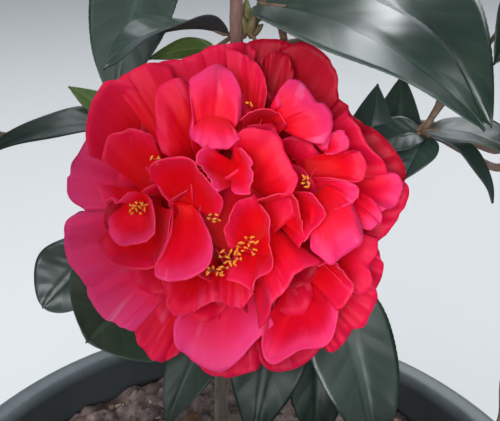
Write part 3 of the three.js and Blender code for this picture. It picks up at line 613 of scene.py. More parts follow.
def leaf_samples(leaf):
    axes = leaf_axes(leaf)
    samples = []
    for i in range(9):
        s = i / 8
        width_here = math.sin(math.pi * min(0.96, 0.08 + 0.88 * s))
        for t in (-1, -0.5, 0, 0.5, 1):
            samples.append(leaf_point(leaf, axes, s, t, width_here))
    return np.array(samples)


def grow_leaf(place, twig_direction, turn, outward, draw, lengths=LEAF_LENGTH):
    """A seeded leaf at one place of a twig: it leans out from the twig and turns its face to the light."""
    side = twig_direction.cross(UP).normalized()
    over = side.cross(twig_direction)
    angle = turn + (draw() - 0.5) * 1.2
    radial = side * math.cos(angle) + over * math.sin(angle)
    direction = twig_direction * (0.45 + 0.35 * draw()) + radial * 0.8
    direction.z -= 0.1 + 0.25 * draw()
    direction.normalize()
    length = lengths[0] + (lengths[1] - lengths[0]) * draw()
    facing = outward * 0.5
    facing.x += (draw() - 0.5) * 0.5
    facing.y += (draw() - 0.5) * 0.5
    facing.z += 0.8
    return {
        "base": place - direction * (TWIG_RADIUS * 1.2),
        "tip": place + direction * length,
        "width": length * LEAF_WIDTH,
        "facing": facing,
        "arch": 4 + 6 * draw(),
        "fold": 0.1 + 0.2 * draw(),
    }


def grow_mass(index, start, start_direction, clearance):
    """Twigs branch from the mass's stem by turns of the golden angle, with leaves by the same turns."""
    number = index + 1
    middle = MIDDLES[index]
    outward = (middle - CROWN_CENTRE).normalized()
    end = middle + outward * STEM_PAST_MIDDLE
    bend = start + start_direction * ((end - start).length * 0.4)
    stem = [start, bend, end]
    curve = Curve(stem)
    grown = {"stem": stem, "twigs": [], "leaves": []}
    own_leaves = []
    for k in range(TWIGS_A_MASS):
        draw = seeded(number * 1000 + k * 50 + 7)
        f = 0.3 + 0.7 * k / (TWIGS_A_MASS - 1)
        root, along = curve.point(f), curve.tangent(f)
        side = along.cross(Vector((0, 0.3, 1))).normalized()
        over = side.cross(along)
        angle = k * GOLDEN_ANGLE + draw() * 0.7 + number
        direction = along * (1.2 if f > 0.95 else 0.5)
        direction += side * (0.85 * math.cos(angle)) + over * (0.85 * math.sin(angle)) + outward * 0.25
        direction.normalize()
        tip = root + direction * (TWIG_LENGTH[0] + (TWIG_LENGTH[1] - TWIG_LENGTH[0]) * draw())
        knee = root.lerp(tip, 0.5) + Vector((0, 0, -2))
        twig = [root, knee, tip]
        twig_curve = Curve(twig)
        samples = np.array([twig_curve.point(i / 10) for i in range(1, 11)])
        if not fits(samples, index, TWIG_RADIUS + 0.8, own_leaves, clearance):
            continue
        grown["twigs"].append(twig)
        for j in range(LEAVES_A_TWIG):
            g = 0.3 + 0.67 * j / (LEAVES_A_TWIG - 1)
            for attempt in range(TRIES_A_LEAF):
                draw = seeded(number * 1000 + k * 50 + j * 14 + attempt + 8)
                turn = (j + k) * GOLDEN_ANGLE + attempt * 1.5
                leaf = grow_leaf(twig_curve.point(g), twig_curve.tangent(g), turn, outward, draw)
                samples = leaf_samples(leaf)[10:]
                if fits(samples, index, LEAF_GAP, own_leaves, clearance):
                    grown["leaves"].append(leaf)
                    own_leaves.append(samples)
                    break
    grown["own"] = own_leaves
    return grown


def add_finer_growth(grown, index, clearance):
    """Carries a mass on to finer shoots, first from its stem and twigs and then from those."""
    outward = (MIDDLES[index] - CROWN_CENTRE).normalized()
    bearers = [(grown["stem"], SHOOTS_ON_STEM)] + [(twig, SHOOTS_ON_TWIG) for twig in grown["twigs"]]
    for order in range(FINER_ORDERS):
        shoots = []
        for number, (bearer, count) in enumerate(bearers):
            for k in range(count):
                draw = seeded(900000 + index * 10000 + order * 3000 + number * 40 + k)
                f = (k + 0.5) / count
                shoot = grow_shoot(grown, index, Curve(bearer), f, k + number, outward, clearance, draw)
                if shoot:
                    shoots.append((shoot, SHOOTS_ON_SHOOT))
        bearers = shoots


def grow_shoot(grown, index, bearer, f, number, outward, clearance, draw):
    """One finer shoot with its leaves, or nothing where it has no room."""
    root, along = bearer.point(0.25 + 0.75 * f), bearer.tangent(0.25 + 0.75 * f)
    side = along.cross(Vector((0.2, 0.3, 1))).normalized()
    over = side.cross(along)
    angle = number * GOLDEN_ANGLE + draw() * 0.8
    direction = along * 0.6 + side * math.cos(angle) + over * math.sin(angle) + outward * 0.45
    direction.normalize()
    tip = root + direction * (SHOOT_LENGTH[0] + (SHOOT_LENGTH[1] - SHOOT_LENGTH[0]) * draw())
    shoot = [root, root.lerp(tip, 0.5) + Vector((0, 0, -1.5)), tip]
    curve = Curve(shoot)
    samples = np.array([curve.point(i / 6) for i in range(2, 7)])
    if not fits(samples, index, TWIG_RADIUS, grown["own"], clearance, FINER_GAP):
        return None
    leaves = []
    for j in range(FINER_LEAVES_A_TWIG):
        g = 0.35 + 0.65 * j / (FINER_LEAVES_A_TWIG - 1)
        for attempt in range(FINER_TRIES):
            turn = j * GOLDEN_ANGLE + attempt * 0.9
            leaf = grow_leaf(curve.point(g), curve.tangent(g), turn, outward, draw, FINER_LEAF_LENGTH)
            samples = leaf_samples(leaf)[10:]
            if fits(samples, index, FINER_GAP, grown["own"], clearance, FINER_LEAVES_APART):
                leaves.append(leaf)
                grown["own"].append(samples)
                break
    if not leaves:
        return None
    grown["twigs"].append(shoot)
    grown["leaves"] += leaves
    return shoot


# The leaves that stand round the bloom: base, tip, width, the way the upper face looks, arch, fold, tint and
# the further bends of the leaf, with places and directions in the measure of from_front
SPRAYS = [
    ("round_bloom_upper", [(0, 66, -14), (8, 69, -22), (14, 74, -29)], [
        ((8, 74, -20), (91, 30.4, 12), 54, (0.3, 0.62, 0.72), 10, 0.08, "glossy", {"droop": 2, "calm": 0.45}),
        ((40, 92, -52), (92.6, 30, -24), 56, (0.15, 0.15, 0.97), 8, 0.1, "glossy", {"droop": 1, "calm": 0.5}),
        ((-27, 97, -38), (-44, 37, -26), 38, (-0.15, 0.25, 0.95), 3, 0.12, "grey", {"sway": 3}),
        ((-3, 63, -20), (-48.5, 50.7, -10), 28, (-0.1, 0.9, 0.4), 8, 0.25, "grey", {"twist": 0.9}),
        ((-8, 58, -29), (-32, 54, -27), 10, (0, 0.4, 0.9), 2, 0.2, "young", {}),
    ]),
    ("round_bloom_right", [
        (0, 52, -17), (20, 60, -34), (42, 59, -40), (60, 52, -42), (74, 43, -42), (68, 28, -38),
    ], [
        ((112, 86, -36), (93, 52, -32), 24, (0.3, 0.5, 0.8), 3, 0.15, "deep", {}),
        ((36, 8, -50), (51, 45, -44), 24, (0.3, 0.4, 0.85), 6, 0.2, "grey", {"sway": 3}),
        ((54, 8, -54), (60, 48, -52), 24, (0.1, 0.4, 0.9), 3, 0.1, "deep", {}),
        ((68, 27, -40), (43, 19, -40), 20, (-0.2, 0.6, 0.75), 4, 0.2, "grey", {}),
        ((68, 28, -36), (108, 12, -24), 27, (0.25, 0.75, 0.6), 7, 0.15, "glossy", {}),
        ((70, 26, -37), (92.7, 1.8, -22), 16, (0.5, 0.6, 0.6), 6, 0.2, "grey", {}),
        ((68, 26, -39), (60, 10, -30), 17, (0, 0.7, 0.7), 3, 0.15, "grey", {}),
    ]),
    ("round_bloom_lower", [(-3, -8, -52), (-1, -12, -46), (0, -16, -42)], [
        ((-40, 30, -43), (-61, 44, -37), 12, (0, 0.5, 0.85), 1, 0.2, "young", {}),
        ((-32, 28, -40), (-96, 16, -22), 24, (-0.12, 0.8, 0.58), 8, 0.2, "grey", {"sway": 2}),
        ((-46, -14, -46), (-70.6, -36, -32), 34, (-0.15, 0.4, 0.9), 4, 0.12, "glossy", {"end": 0.6}),
        ((-27, -24, -56), (-54.5, -48.5, -14), 56, (0.5, 0.5, 0.7), 4, 0.1, "mid", {"end": 0.56}),
        ((-1, -26, -42), (-26, -79, -20), 26, (-0.1, 0.35, 0.93), 4, 0.15, "deep", {}),
        ((16, -26, -43), (5.4, -85, -24), 34, (0, 0.4, 0.9), 4, 0.12, "deep", {}),
        ((30, -26, -45), (28, -88, -32), 32, (0.05, 0.4, 0.9), 4, 0.12, "deep", {}),
        ((33, -24, -42), (51, -93, -22), 38, (0.25, 0.3, 0.92), 5, 0.12, "glossy", {}),
    ]),
]
NEAR_TINTS = ("glossy", "grey", "deep", "young", "mid")


def grow_spray(spray):
    """The stem, twigs and leaves of one spray that stands at the bloom."""
    stem = [from_front(place) for place in spray[1]]
    hub = stem[-1]
    root = hub.lerp(stem[-2], 0.2)
    leaves = []
    for base, tip, width, facing, arch, fold, tint, bends in spray[2]:
        leaf = {"base": from_front(base), "tip": from_front(tip), "width": width, "arch": arch, "fold": fold}
        leaf["facing"] = direction_from_front(facing)
        leaf["tint"] = NEAR_TINTS.index(tint)
        leaf.update(bends)
        leaves.append(leaf)
    twigs = []
    for leaf in leaves:
        within = leaf_point(leaf, leaf_axes(leaf), 0.12, 0, 0)
        knee = hub.lerp(leaf["base"], 0.5) + FORWARD * ((leaf["base"] - hub).length * 0.06)
        twigs.append([root, knee, leaf["base"], within])
    return {"stem": stem, "twigs": twigs, "leaves": leaves}


# The bloom's petals from the outer ones to the heart, in the measure of from_front: tint, root, how far the
# middle sinks, how far the lip turns back, the height of its ruffles, and the places that its lip passes
PETALS = [
    ("pink", (-12, 4, -18), 3, 1, 1.2,
     [(-50, 31, -10), (-57, 22, -7), (-60.8, 15.6, -5), (-61.6, 10, -4), (-61, 4, -5), (-56, -1, -8)]),
    ("pink", (-12, -3, -18), 3, 1, 1.6,
     [(-57, -1, -7), (-62, -5, -4), (-62.6, -10, -2), (-62.2, -16, -2), (-59.8, -22.5, -3), (-55, -28, -5),
      (-50, -31, -7)]),
    ("pink", (-10, -9, -17), 3, 1, 1.4,
     [(-54, -25, -8), (-54.4, -30.8, -4), (-51.4, -36.4, -2), (-46.7, -41.3, -1), (-42, -43.9, -2),
      (-37, -45, -4)]),
    ("crimson", (-6, -12, -17), 2, 0, 1.0,
     [(-38, -43, -5), (-36, -49, -3), (-33, -53, -2), (-29.4, -56, -1), (-26, -55.4, -3), (-21, -53, -5)]),
    ("crimson", (1, -14, -18), 3, 0, 1.2,
     [(-17, -55, -6), (-10.5, -60.1, -5), (-4.3, -61.6, -4), (1.8, -60.3, -5), (7.2, -58.7, -5),
      (10, -53, -6)]),
    ("pink", (-3, -16, -14), 3, 2, 1.2,
     [(-23, -41, 0), (-23, -48.9, 1), (-19.6, -53.6, 1), (-14.9, -57.2, 0), (-9, -59.8, 0), (-3.3, -58, 1),
      (2.9, -52.5, 2), (9, -47.1, 3), (13.4, -42, 4)]),
    ("crimson", (5, -13, -18), 3, 0, 1.2,
     [(7, -49, -5), (9, -56.9, -4), (13.8, -59.2, -4), (19.9, -58.5, -5), (25.4, -55.8, -5), (31, -50, -6)]),
    ("crimson", (8, -12, -18), 3, 1, 1.2,
     [(28, -50, -7), (32.6, -52.4, -4), (36.2, -51.4, -3), (39.5, -47.8, -3), (42, -43, -5)]),
    ("crimson", (10, -8, -18), 3, 1, 1.2,
     [(40, -45, -6), (45.7, -43.5, -4), (48.6, -39.1, -3), (50.6, -33.7, -3), (51.5, -28.6, -4),
      (50, -23, -7)]),
    ("crimson", (12, -4, -18), 3, 1, 1.2,
     [(50, -30, -8), (52.6, -24.3, -5), (52.6, -20, -4), (51.2, -16, -4), (49, -11, -6)]),
    ("crimson", (13, 0, -18), 3, 1, 1.0,
     [(49, -15, -9), (54, -9.8, -7), (58, -4.3, -6), (61, 1, -6), (62.4, 6.5, -6), (60, 12, -8)]),
    ("deep", (12, 5, -18), 3, 1, 1.4,
     [(61, 6, -9), (61, 13.8, -6), (58.4, 19.2, -5), (54.8, 23.9, -5), (50, 28.3, -6), (44, 32, -8)]),
    ("deep", (11, 8, -18), 3, 0, 1.2,
     [(34, 42, -8), (38.8, 38.2, -5), (41.8, 36, -4), (43.9, 32.8, -4), (46.9, 29, -7)]),
    ("deep", (8, 14, -17), 5, 0, 0.6,
     [(16, 58, -7), (22.8, 60.5, -4), (27.9, 58.7, -2), (32.2, 55.4, -1), (35.2, 51, -1), (36.8, 45.7, -2),
      (37, 39, -5)]),
    ("crimson", (-3, 14, -18), 3, 0, 1.2,
     [(-16, 54, -8), (-10.5, 58.3, -5), (-4.3, 59.4, -4), (2.2, 60.1, -5), (7, 57, -8)]),
    ("deep", (4, 14, -18), 3, 0, 1.2,
     [(0, 57, -9), (5.8, 60.9, -7), (12, 61.3, -6), (18, 60.5, -7), (22, 56, -9)]),
    ("crimson", (-6, 13, -18), 3, 0, 1.0,
     [(-36, 48, -10), (-30.8, 52.9, -7), (-25, 53.8, -6), (-19.2, 54.4, -6), (-12, 57, -8)]),
    ("crimson", (-20, 8, -12), 6, -1, 0.8,
     [(-53, 19, -4), (-55, 26, -2), (-54, 33.3, 0), (-51.8, 40.6, 2), (-48.2, 45.9, 3), (-44.2, 47, 3),
      (-38, 46, 1)]),
    ("crimson", (-16, 12, -11), -2, 1, 0.8,
     [(-43.8, 44, 1), (-43, 46.6, 2), (-40.9, 48.4, 2), (-36.2, 50.9, 1), (-31.2, 52.7, 0), (-24, 52, -2)]),
    ("crimson", (-26, 4, -8), 3, 0, 0.8,
     [(-49, 18, 4), (-46.7, 25.4, 6), (-41.7, 28, 7), (-35.9, 28.4, 6), (-30.8, 26.8, 4)]),
    ("rose", (-32, 6, -6), 3, 1, 1.2,
     [(-52, 10, 5), (-49.6, 6.5, 8), (-48, 4.3, 9), (-45.7, 2.9, 10), (-43.1, 4.2, 10), (-39, 6, 9)]),
    ("crimson", (-14, 14, -6), -3, 2, 1.6,
     [(-26, 20, 8), (-28, 29, 10), (-29, 36.2, 10), (-27.2, 42.8, 9), (-23.9, 46.5, 8), (-18.5, 46.9, 6),
      (-14, 43, 4)]),
    ("rose", (-11, 18, 0), -4, 3, 0.8,
     [(-17.4, 27.5, 12), (-16.3, 34.8, 13), (-17.2, 41.3, 13), (-17.2, 46.4, 11), (-14.1, 49, 10),
      (-9.8, 51.4, 8), (-6.2, 52.3, 7), (-2.7, 50.4, 8), (-0.2, 46.7, 10), (1.9, 40.9, 12), (1.8, 33, 12)]),
    ("rose", (-8, 33, 6), -3, 1, 0.6,
     [(-17, 27, 13), (-15, 24, 15), (-11.6, 23, 16), (-7.6, 22, 17), (-3.3, 22.8, 17), (1, 26, 16)]),
    ("crimson", (2, 20, -6), 3, 0, 1.0,
     [(-4, 58, -2), (2.5, 56, 0), (6.9, 52.6, 1), (9.8, 49.3, 1), (11.3, 42, 2)]),
    ("deep", (8, 20, -8), 3, 0, 0.8,
     [(8, 50, -3), (10, 55, -3), (13.8, 56.7, -3), (18.5, 55.4, -3), (20.5, 49, -2)]),
    ("crimson", (9, 24, -6), 4, 0, 0.6,
     [(1, 33, 8), (5, 34.5, 9), (10, 36, 8), (15, 35, 7), (18, 30, 7)]),
    ("rose", (14, 31, 0), -4, 2, 0.6,
     [(15.6, 37, 9), (15.6, 42, 9), (17.4, 46, 9), (21.7, 46.3, 8), (25, 43, 9), (27.2, 38, 11),
      (30.1, 37.4, 11), (32.8, 34.4, 11), (33.8, 30.4, 12), (33, 26.1, 13), (30.6, 22.6, 13)]),
    ("rose", (27, 25, 0), -2, 2, 0.4,
     [(32, 20, 9), (33, 24.5, 10), (34.8, 26.8, 10), (37.7, 27, 10), (39.9, 24.3, 10), (39.7, 21, 10),
      (37.3, 19, 10), (33, 19, 9)]),
    ("crimson", (20, 14, -10), 4, 0, 1.2,
     [(40, 36, -2), (43.8, 30.4, 1), (46, 24.8, 2), (49, 21, 1), (53.3, 17, -1), (55, 10, -3)]),
    ("crimson", (24, 14, -4), 3, 2, 0.6,
     [(38, 22, 5), (42.4, 21.6, 7), (45, 19.6, 8), (46.2, 15.9, 9), (45.4, 12.2, 9), (43, 10.2, 9),
      (38, 10, 8)]),
    ("rose", (20, 8, -4), 3, 2, 0.6,
     [(36, 11, 9), (40.9, 10.1, 10), (43.7, 7.4, 11), (43.3, 4.2, 11), (39.1, 2, 12), (33, -1, 12)]),
    ("rose", (36, 8, -10), 1, 1, 1.2,
     [(48, 1, 3), (53.3, -1.2, 4), (57, 2.2, 3), (60, 7.2, 0), (58.4, 12.3, -1), (53, 15, -3)]),
    ("rose", (38, 6, -4), -1, 1, 0.6,
     [(43.6, -6.5, 8), (48.2, -7.2, 8), (51.6, -5.4, 7), (52.7, -2.5, 6), (51, 2, 4)]),
    ("crimson", (24, -8, -10), 3, 2, 0.8,
     [(51, -10, 0), (50.6, -15.9, 2), (47.6, -20.3, 4), (48.8, -25, 5), (47.9, -28.5, 5), (44.2, -30.4, 6),
      (40, -29, 6)]),
    ("rose", (29, 6, 4), -3, 2, 0.6,
     [(27.4, -8, 14), (26.8, -13.4, 15), (30.1, -17, 16), (34.4, -20.1, 17), (37.9, -16.9, 16),
      (41.8, -15, 15), (45, -12.7, 14), (45.9, -8.5, 13), (43.9, -1.5, 11), (41, 4, 9)]),
    ("crimson", (16, -12, -12), 4, 0, 0.8,
     [(30, -20.6, 9), (33.9, -20.1, 10), (36.8, -21, 10), (39.3, -23.5, 10), (41.5, -27.2, 10),
      (41.1, -31.5, 9), (39.2, -35.3, 8), (35.5, -38, 7)]),
    ("rose", (22, -26, -12), 5, 3, 0.6,
     [(36.4, -35, 7), (35.4, -42.4, 5), (33.8, -47, 4), (30.1, -48.8, 5), (23.9, -49.5, 7), (18.5, -52.7, 8),
      (13.4, -55.2, 7), (10, -54, 6), (8.2, -49.6, 6), (8.8, -43, 6)]),
    ("crimson", (7, -6, -6), -4, -1, 0.8,
     [(8.4, -44, 7), (11.2, -39.9, 11), (13.4, -36.2, 13), (16.3, -32.2, 15), (19.6, -28.3, 16),
      (23.9, -24.3, 16), (28.3, -21.4, 15), (31.4, -20, 12)]),
    ("crimson", (-12, -14, -6), 3, 2, 1.0,
     [(-27, -29, 5), (-26, -33, 6), (-24.3, -37, 7), (-21, -39.3, 8), (-17.8, -37.9, 8), (-14.1, -35.3, 8),
      (-9.4, -33.9, 8), (-4, -33, 8)]),
    ("crimson", (0, -14, -4), -2, 1, 1.0,
     [(-7, -31, 9), (-5.4, -33.7, 10), (-1.8, -35.7, 11), (2.2, -35, 12), (6, -31, 12)]),
    ("crimson", (2, -2, -4), 6, 1, 1.4,
     [(9, 1, 14), (10.7, -3.3, 15), (9.9, -8, 16), (11.3, -11.6, 17), (12.8, -15.2, 18), (12, -18.9, 19),
      (10.5, -22.8, 20), (7.4, -25.9, 20), (6, -29.7, 20), (3, -29.4, 20), (-0.2, -27.2, 19),
      (-4, -26, 17)]),
    ("crimson", (14, 2, 0), 3, 0, 0.8,
     [(24.3, 6, 13), (28, 4.9, 14), (30.9, 1.8, 15), (32.2, -1.4, 15), (31.2, -4.3, 16), (27.9, -7.8, 16),
      (24, -12.4, 16)]),
    ("crimson", (12, -3, -2), 3, 0, 0.8,
     [(7, 3, 13), (13.8, 4.5, 14), (19.2, 4.2, 14), (22.8, -1.4, 14), (24.3, -8.7, 14), (22, -15, 13)]),
    ("crimson", (4, 8, 0), -3, 1, 1.0,
     [(-2.2, 24, 15), (2.2, 28.5, 15), (7.2, 29.2, 15), (12, 28, 15), (16, 24.6, 15), (16.9, 18.5, 16),
      (19.8, 14.5, 16), (22.7, 10.4, 16), (19, 4, 15)]),
    ("rose", (-2, 17, 4), 2, 1, 0.5,
     [(0.6, 22, 19), (4, 17, 21), (5.3, 12.3, 22), (4.4, 8, 22), (2.2, 5.1, 21), (-1.6, 5.4, 20)]),
    ("rose", (0, 13, 3), 3, 1, 0.6,
     [(-10.5, 23, 17), (-13.4, 20.3, 18), (-13, 16, 19), (-9.8, 11.8, 20), (-6.3, 6, 20)]),
    ("crimson", (-1, -18, 1), 4, -1, 1.4,
     [(-15, -2, 3), (-9, 8, 5), (0, 14, 6), (8, 15, 6), (17, 9, 6), (22, -2, 6)]),
    ("crimson", (11, -14, 4), 4, 1, 0.6,
     [(7, 5, 13), (3.5, 3, 15), (-0.9, 0.4, 16), (-3, -4.5, 16), (-4, -9, 15), (-3.5, -14, 12)]),
    ("crimson", (-20, 0, -2), 3, -1, 0.6,
     [(-31, 10, 8), (-30.4, 15, 11), (-29, 17.6, 13), (-24.6, 18.8, 15), (-19.2, 19, 16), (-14.9, 17.2, 17),
      (-12, 13.4, 17), (-8.5, 8.7, 17), (-5, 2.5, 16), (-7, -4, 13)]),
    ("crimson", (-33, 0, -2), 5, 1, 0.4,
     [(-52, -11, 5), (-46.9, -18.1, 10), (-43.2, -20.9, 13), (-38.4, -22, 15), (-33.3, -21.7, 16),
      (-29.5, -19.6, 16), (-26.2, -14.5, 15), (-24.8, -8, 13), (-23.8, 0, 10)]),
    ("rose", (-37, 4, 2), 4, 1, 0.4,
     [(-47.5, -4, 10), (-46.7, -9, 13), (-43.6, -12.4, 16), (-39.5, -13, 18), (-34.4, -11.8, 19),
      (-31, -8.3, 19), (-30.2, -3.3, 17), (-31, 3, 13)]),
    ("rose", (-20, 2, 0), 5, 2, 0.4,
     [(-23.4, 0, 11), (-24.2, -7.2, 15), (-26.9, -14.5, 18), (-29.9, -19.6, 19), (-30, -23.9, 20),
      (-26, -25.7, 21), (-20.3, -25.2, 22), (-14, -22.7, 22), (-9.9, -18.6, 21), (-8.8, -12.7, 19),
      (-10.5, -6.6, 16), (-13, -2, 13)]),
]
# The petals' tints: the colours of their root, middle, lip and pale flecks, and how much sheen they have; the
# lips' pink is a painted sheen
PETAL_COLOURS = {
    # Painted light: "rose" is a lighter copy for the petals that face the sky
    "rose": ((0.78, 0.0, 0.004), (0.87, 0.002, 0.034), (0.86, 0.03, 0.165), (0.9, 0.16, 0.33), 0.06),
    "crimson": ((0.66, 0.0, 0.003), (0.77, 0.0005, 0.011), (0.79, 0.006, 0.065), (0.86, 0.07, 0.19), 0.05),
    # Painted shade: "deep" is a darker copy for the petals in shadow
    "deep": ((0.34, 0.0, 0.003), (0.44, 0.001, 0.01), (0.5, 0.002, 0.024), (0.6, 0.025, 0.085), 0.03),
    # Painted light: "pink" is the lightest copy, for the outer petals that face the sky
    "pink": ((0.9, 0.001, 0.01), (0.95, 0.016, 0.1), (0.95, 0.05, 0.23), (0.95, 0.28, 0.46), 0.1),
}
PETAL_TINTS = tuple(PETAL_COLOURS)

# The dry scales above the bloom, each with its foot, its tip and its width
BUD_SCALES = [
    ((2.5, 63, -17), (-0.5, 74, -15), 4.5), ((3, 63, -17), (3.5, 76, -14), 5),
    ((4, 63, -17), (8, 73, -14), 4.5), ((3.5, 63, -16), (1.5, 70, -12), 4),
    ((4, 63, -16), (6.5, 69.5, -12), 4), ((3.5, 62, -17), (-2.5, 67, -15), 3.5),
    ((4, 62, -17), (9.5, 66.5, -15), 3.5),
]
# Short stalks: the two legs that carry the scales, and a cut stub beside them
STUBS = [
    ([(3.4, 64, -16), (1.5, 61, -15), (1, 57, -15)], 0.8, 0.7),
    ([(3.6, 64, -16), (6.5, 61, -15), (8, 57, -15)], 0.8, 0.7),
    ([(13, 74, -27), (15.5, 68, -21), (17, 61, -16)], 1.9, 1.5),
]

# How far behind its anther a stamen's foot stands, the radii of its filament and the half-sizes of its anther
STAMEN_DEPTH = 12
FILAMENT_RADII = (0.3, 0.2)
ANTHER = (0.4, 0.8, 0.4)
# The anthers: where each cluster's middle is, how far it spreads each way, and how many there are
STAMENS = [
    ((-2, -18, 13), (4.5, 3), 17), ((-8, -22.5, 13), (4.5, 2), 11), ((3.5, -13.5, 13), (4, 3), 12),
    ((-36, 0, 10), (3.4, 2.2), 13), ((-8.5, -3.5, 13), (2.2, 2), 6), ((25, 9, 10), (1.8, 2.6), 7),
    ((-29.5, 17.5, 12), (2.4, 1.2), 4), ((4.5, 37.5, 8), (1.2, 1.2), 2),
]


# The half-sizes of the lump that the petals stand on
BLOOM_BASE = (30, 30, 12)

# The rings of scales behind the bloom: how many there are, how far they reach out, and where their tips lie
CALYX_RINGS = ((5, 21, -16), (5, 17, -20), (6, 12, -24))
# The scales start at the stalk, this far out and this far behind the bloom's middle
CALYX_FOOT = 1.5
CALYX_DEPTH = 30
# How far round each scale spreads, how far along it starts to narrow, and how thick it is in metres
CALYX_SPREAD = 0.75
CALYX_NARROWS = 0.35
CALYX_THICKNESS = 0.0007
BUD_SCALE_THICKNESS = 0.0005


def leaf_outline(s, end=LEAF_END):
    """How wide a leaf is on its way from base to tip, 1 at its widest; a smaller end makes a blunter tip."""
    widest = LEAF_START / (LEAF_START + end)
    return (s / widest) ** LEAF_START * ((1 - s) / (1 - widest)) ** end


def add_crown_leaf(shape, leaf, tint):
    """A leaf of few faces: two halves with a narrow midrib between them."""
    axes = leaf_axes(leaf)
    across = (-1, -0.55, -0.06, 0.06, 0.55, 1)
    last = len(across) - 1

    def place(x, y):
        t = across[round((x + 1) / 2 * last)]
        s = y ** 1.15
        lift = 0.6 * math.sin(9 * math.pi * s) * t * t - (0.4 if abs(t) < 0.1 else 0)
        return leaf_point(leaf, axes, s, t, leaf_outline(s)) + axes[1] * lift

    def tint_at(x, y):
        return LEAF_RIB if abs(x) < 1 / last else tint

    made = add_sheet(shape, last, CROWN_LEAF_ROWS, place, tint_at)
    bmesh.ops.remove_doubles(shape, verts=made, dist=1e-3)


def add_near_leaf(shape, leaf, number, tint):
    """A leaf of the bloom's surroundings: finely toothed, puffed between its veins, with a sunken midrib."""
    axes = leaf_axes(leaf)
    blunt = leaf.get("end", LEAF_END)
    length = (leaf["tip"] - leaf["base"]).length

    def place(x, y):
        s = y
        teeth = abs(math.sin(NEAR_LEAF_TEETH * math.pi * s)) * smooth(s * 8) * smooth((1 - s) * 4)
        tooth = 1 + TOOTH_DEPTH * teeth
        spot = leaf_point(leaf, axes, s, x, leaf_outline(s, blunt) * tooth)
        vein = math.sin(math.pi * (s * NEAR_LEAF_VEINS - abs(x) * 1.4))
        puff = VEIN_PUFF * leaf["width"] * vein * vein * math.sin(math.pi * abs(x)) ** 0.7
        groove = RIB_GROOVE * leaf["width"] * math.exp(-((x / 0.07) ** 2))
        swell = LEAF_SWELL * leaf["width"] * noise.noise(Vector((x * 1.3, s * 3.2, number * 3.7)))
        wavy = LEAF_WAVE * leaf["width"] * x * x * math.sin(2 * math.pi * (1.7 * s + number * 0.37))
        base_fade = smooth(s * 10)
        return spot + axes[1] * ((puff + swell + wavy) * base_fade * leaf.get("calm", 1) - groove)

    rows = 48 + int(length * 0.5)
    made = add_sheet(shape, NEAR_LEAF_COLUMNS, rows, place, tint)
    bmesh.ops.remove_doubles(shape, verts=made, dist=1e-3)


def add_bud(shape, place, direction, length):
    """A pointed leaf bud on the end of a twig."""
    made = bmesh.ops.create_icosphere(shape, subdivisions=2, radius=1)["verts"]
    turn = direction.to_track_quat("Z", "Y").to_matrix()
    for vertex in made:
        slim = 0.36 * (1 - 0.45 * vertex.co.z)
        own = Vector((vertex.co.x * slim, vertex.co.y * slim, vertex.co.z + 0.85)) * (length / 2)
        vertex.co = place + turn @ own
    for face in {face for vertex in made for face in vertex.link_faces}:
        face.smooth = True


def add_petal(shape, number, petal, columns, rows):
    """A petal fans out from its root to the curve that its lip follows."""
    tint, root, hollow, curl, wave, lip_places = petal
    draw = seeded(PETAL_SEED + number)
    foot = from_front(root)
    lip = Curve([from_front(place) for place in lip_places])
    chord = (lip.point(1) - lip.point(0)).normalized()
    face = chord.cross(lip.point(0.5) - foot).normalized()
    if face.dot(FORWARD) > 0:
        face = -face
    waves, phase, drift = 0.6 + 0.9 * draw(), draw(), draw() * 40

    def place(x, y):
        start = foot + chord * (PETAL_FOOT * x)
        notch = PETAL_NOTCH * max(0.0, noise.noise(Vector((x * 2.6, 2.5, drift + 33))))
        spot = start.lerp(lip.point((x + 1) / 2), y * (1 - notch))
        sink = hollow * math.sin(math.pi * y ** 0.85) * (1 - 0.8 * x * x)
        ruffle = wave * y ** 3 * math.sin(2 * math.pi * (waves * x + phase))
        crumple = CRUMPLES[0] * y * noise.noise(Vector((x * 2.1, y * 2.6, drift)))
        crumple += CRUMPLES[1] * y * y * noise.noise(Vector((x * 5.5, y * 1.4, drift + 9)))
        crumple += CRUMPLES[2] * y ** 4 * noise.noise(Vector((x * 12, y * 5, drift + 21)))
        back = curl * smooth((y - 0.74) / 0.26) ** 2
        return spot + face * (ruffle + crumple - sink - back)

    made = add_sheet(shape, columns, rows, place, PETAL_TINTS.index(tint))
    faces = list({face for vertex in made for face in vertex.link_faces})
    bmesh.ops.recalc_face_normals(shape, faces=faces)


def filler_petals():
    """Smaller petals that fill the bloom between its large ones, deeper in its dome."""
    petals = []
    for k in range(FILLER_PETALS):
        draw = seeded(FILLER_SEED + k)
        angle = k * GOLDEN_ANGLE
        reach = FILLER_REACH[0] + FILLER_REACH[1] * math.sqrt((k + 0.5) / FILLER_PETALS)
        top = 6 - 20 * (reach / 60) ** 2 + 3 * draw()
        width = 0.55 + 0.2 * draw()
        lip = []
        for i in range(5):
            turn = angle + width * (i - 2) / 2 * 20 / reach
            away = reach * (1 - 0.06 * (i - 2) ** 2)
            lip.append((away * math.cos(turn), away * math.sin(turn), top - 1.2 * abs(i - 2)))
        root = (reach * 0.25 * math.cos(angle), reach * 0.25 * math.sin(angle), -16)
        # Half of these small petals take the "deep" tint, painted shade for the inside of the dome
        petals.append(("deep" if draw() < 0.5 else "crimson", root, 3, 1, 1.6, lip))
    return petals


def add_ball(shape, place, turn, sizes, subdivisions=1, tint=0):
    """A rounded lump of three given half-sizes."""
    made = bmesh.ops.create_icosphere(shape, subdivisions=subdivisions, radius=1)["verts"]
    for vertex in made:
        own = Vector(vertex.co[i] * sizes[i] for i in range(3))
        vertex.co = place + turn @ own
    for face in {face for vertex in made for face in vertex.link_faces}:
        face.smooth = True
        face.material_index = tint
    return made


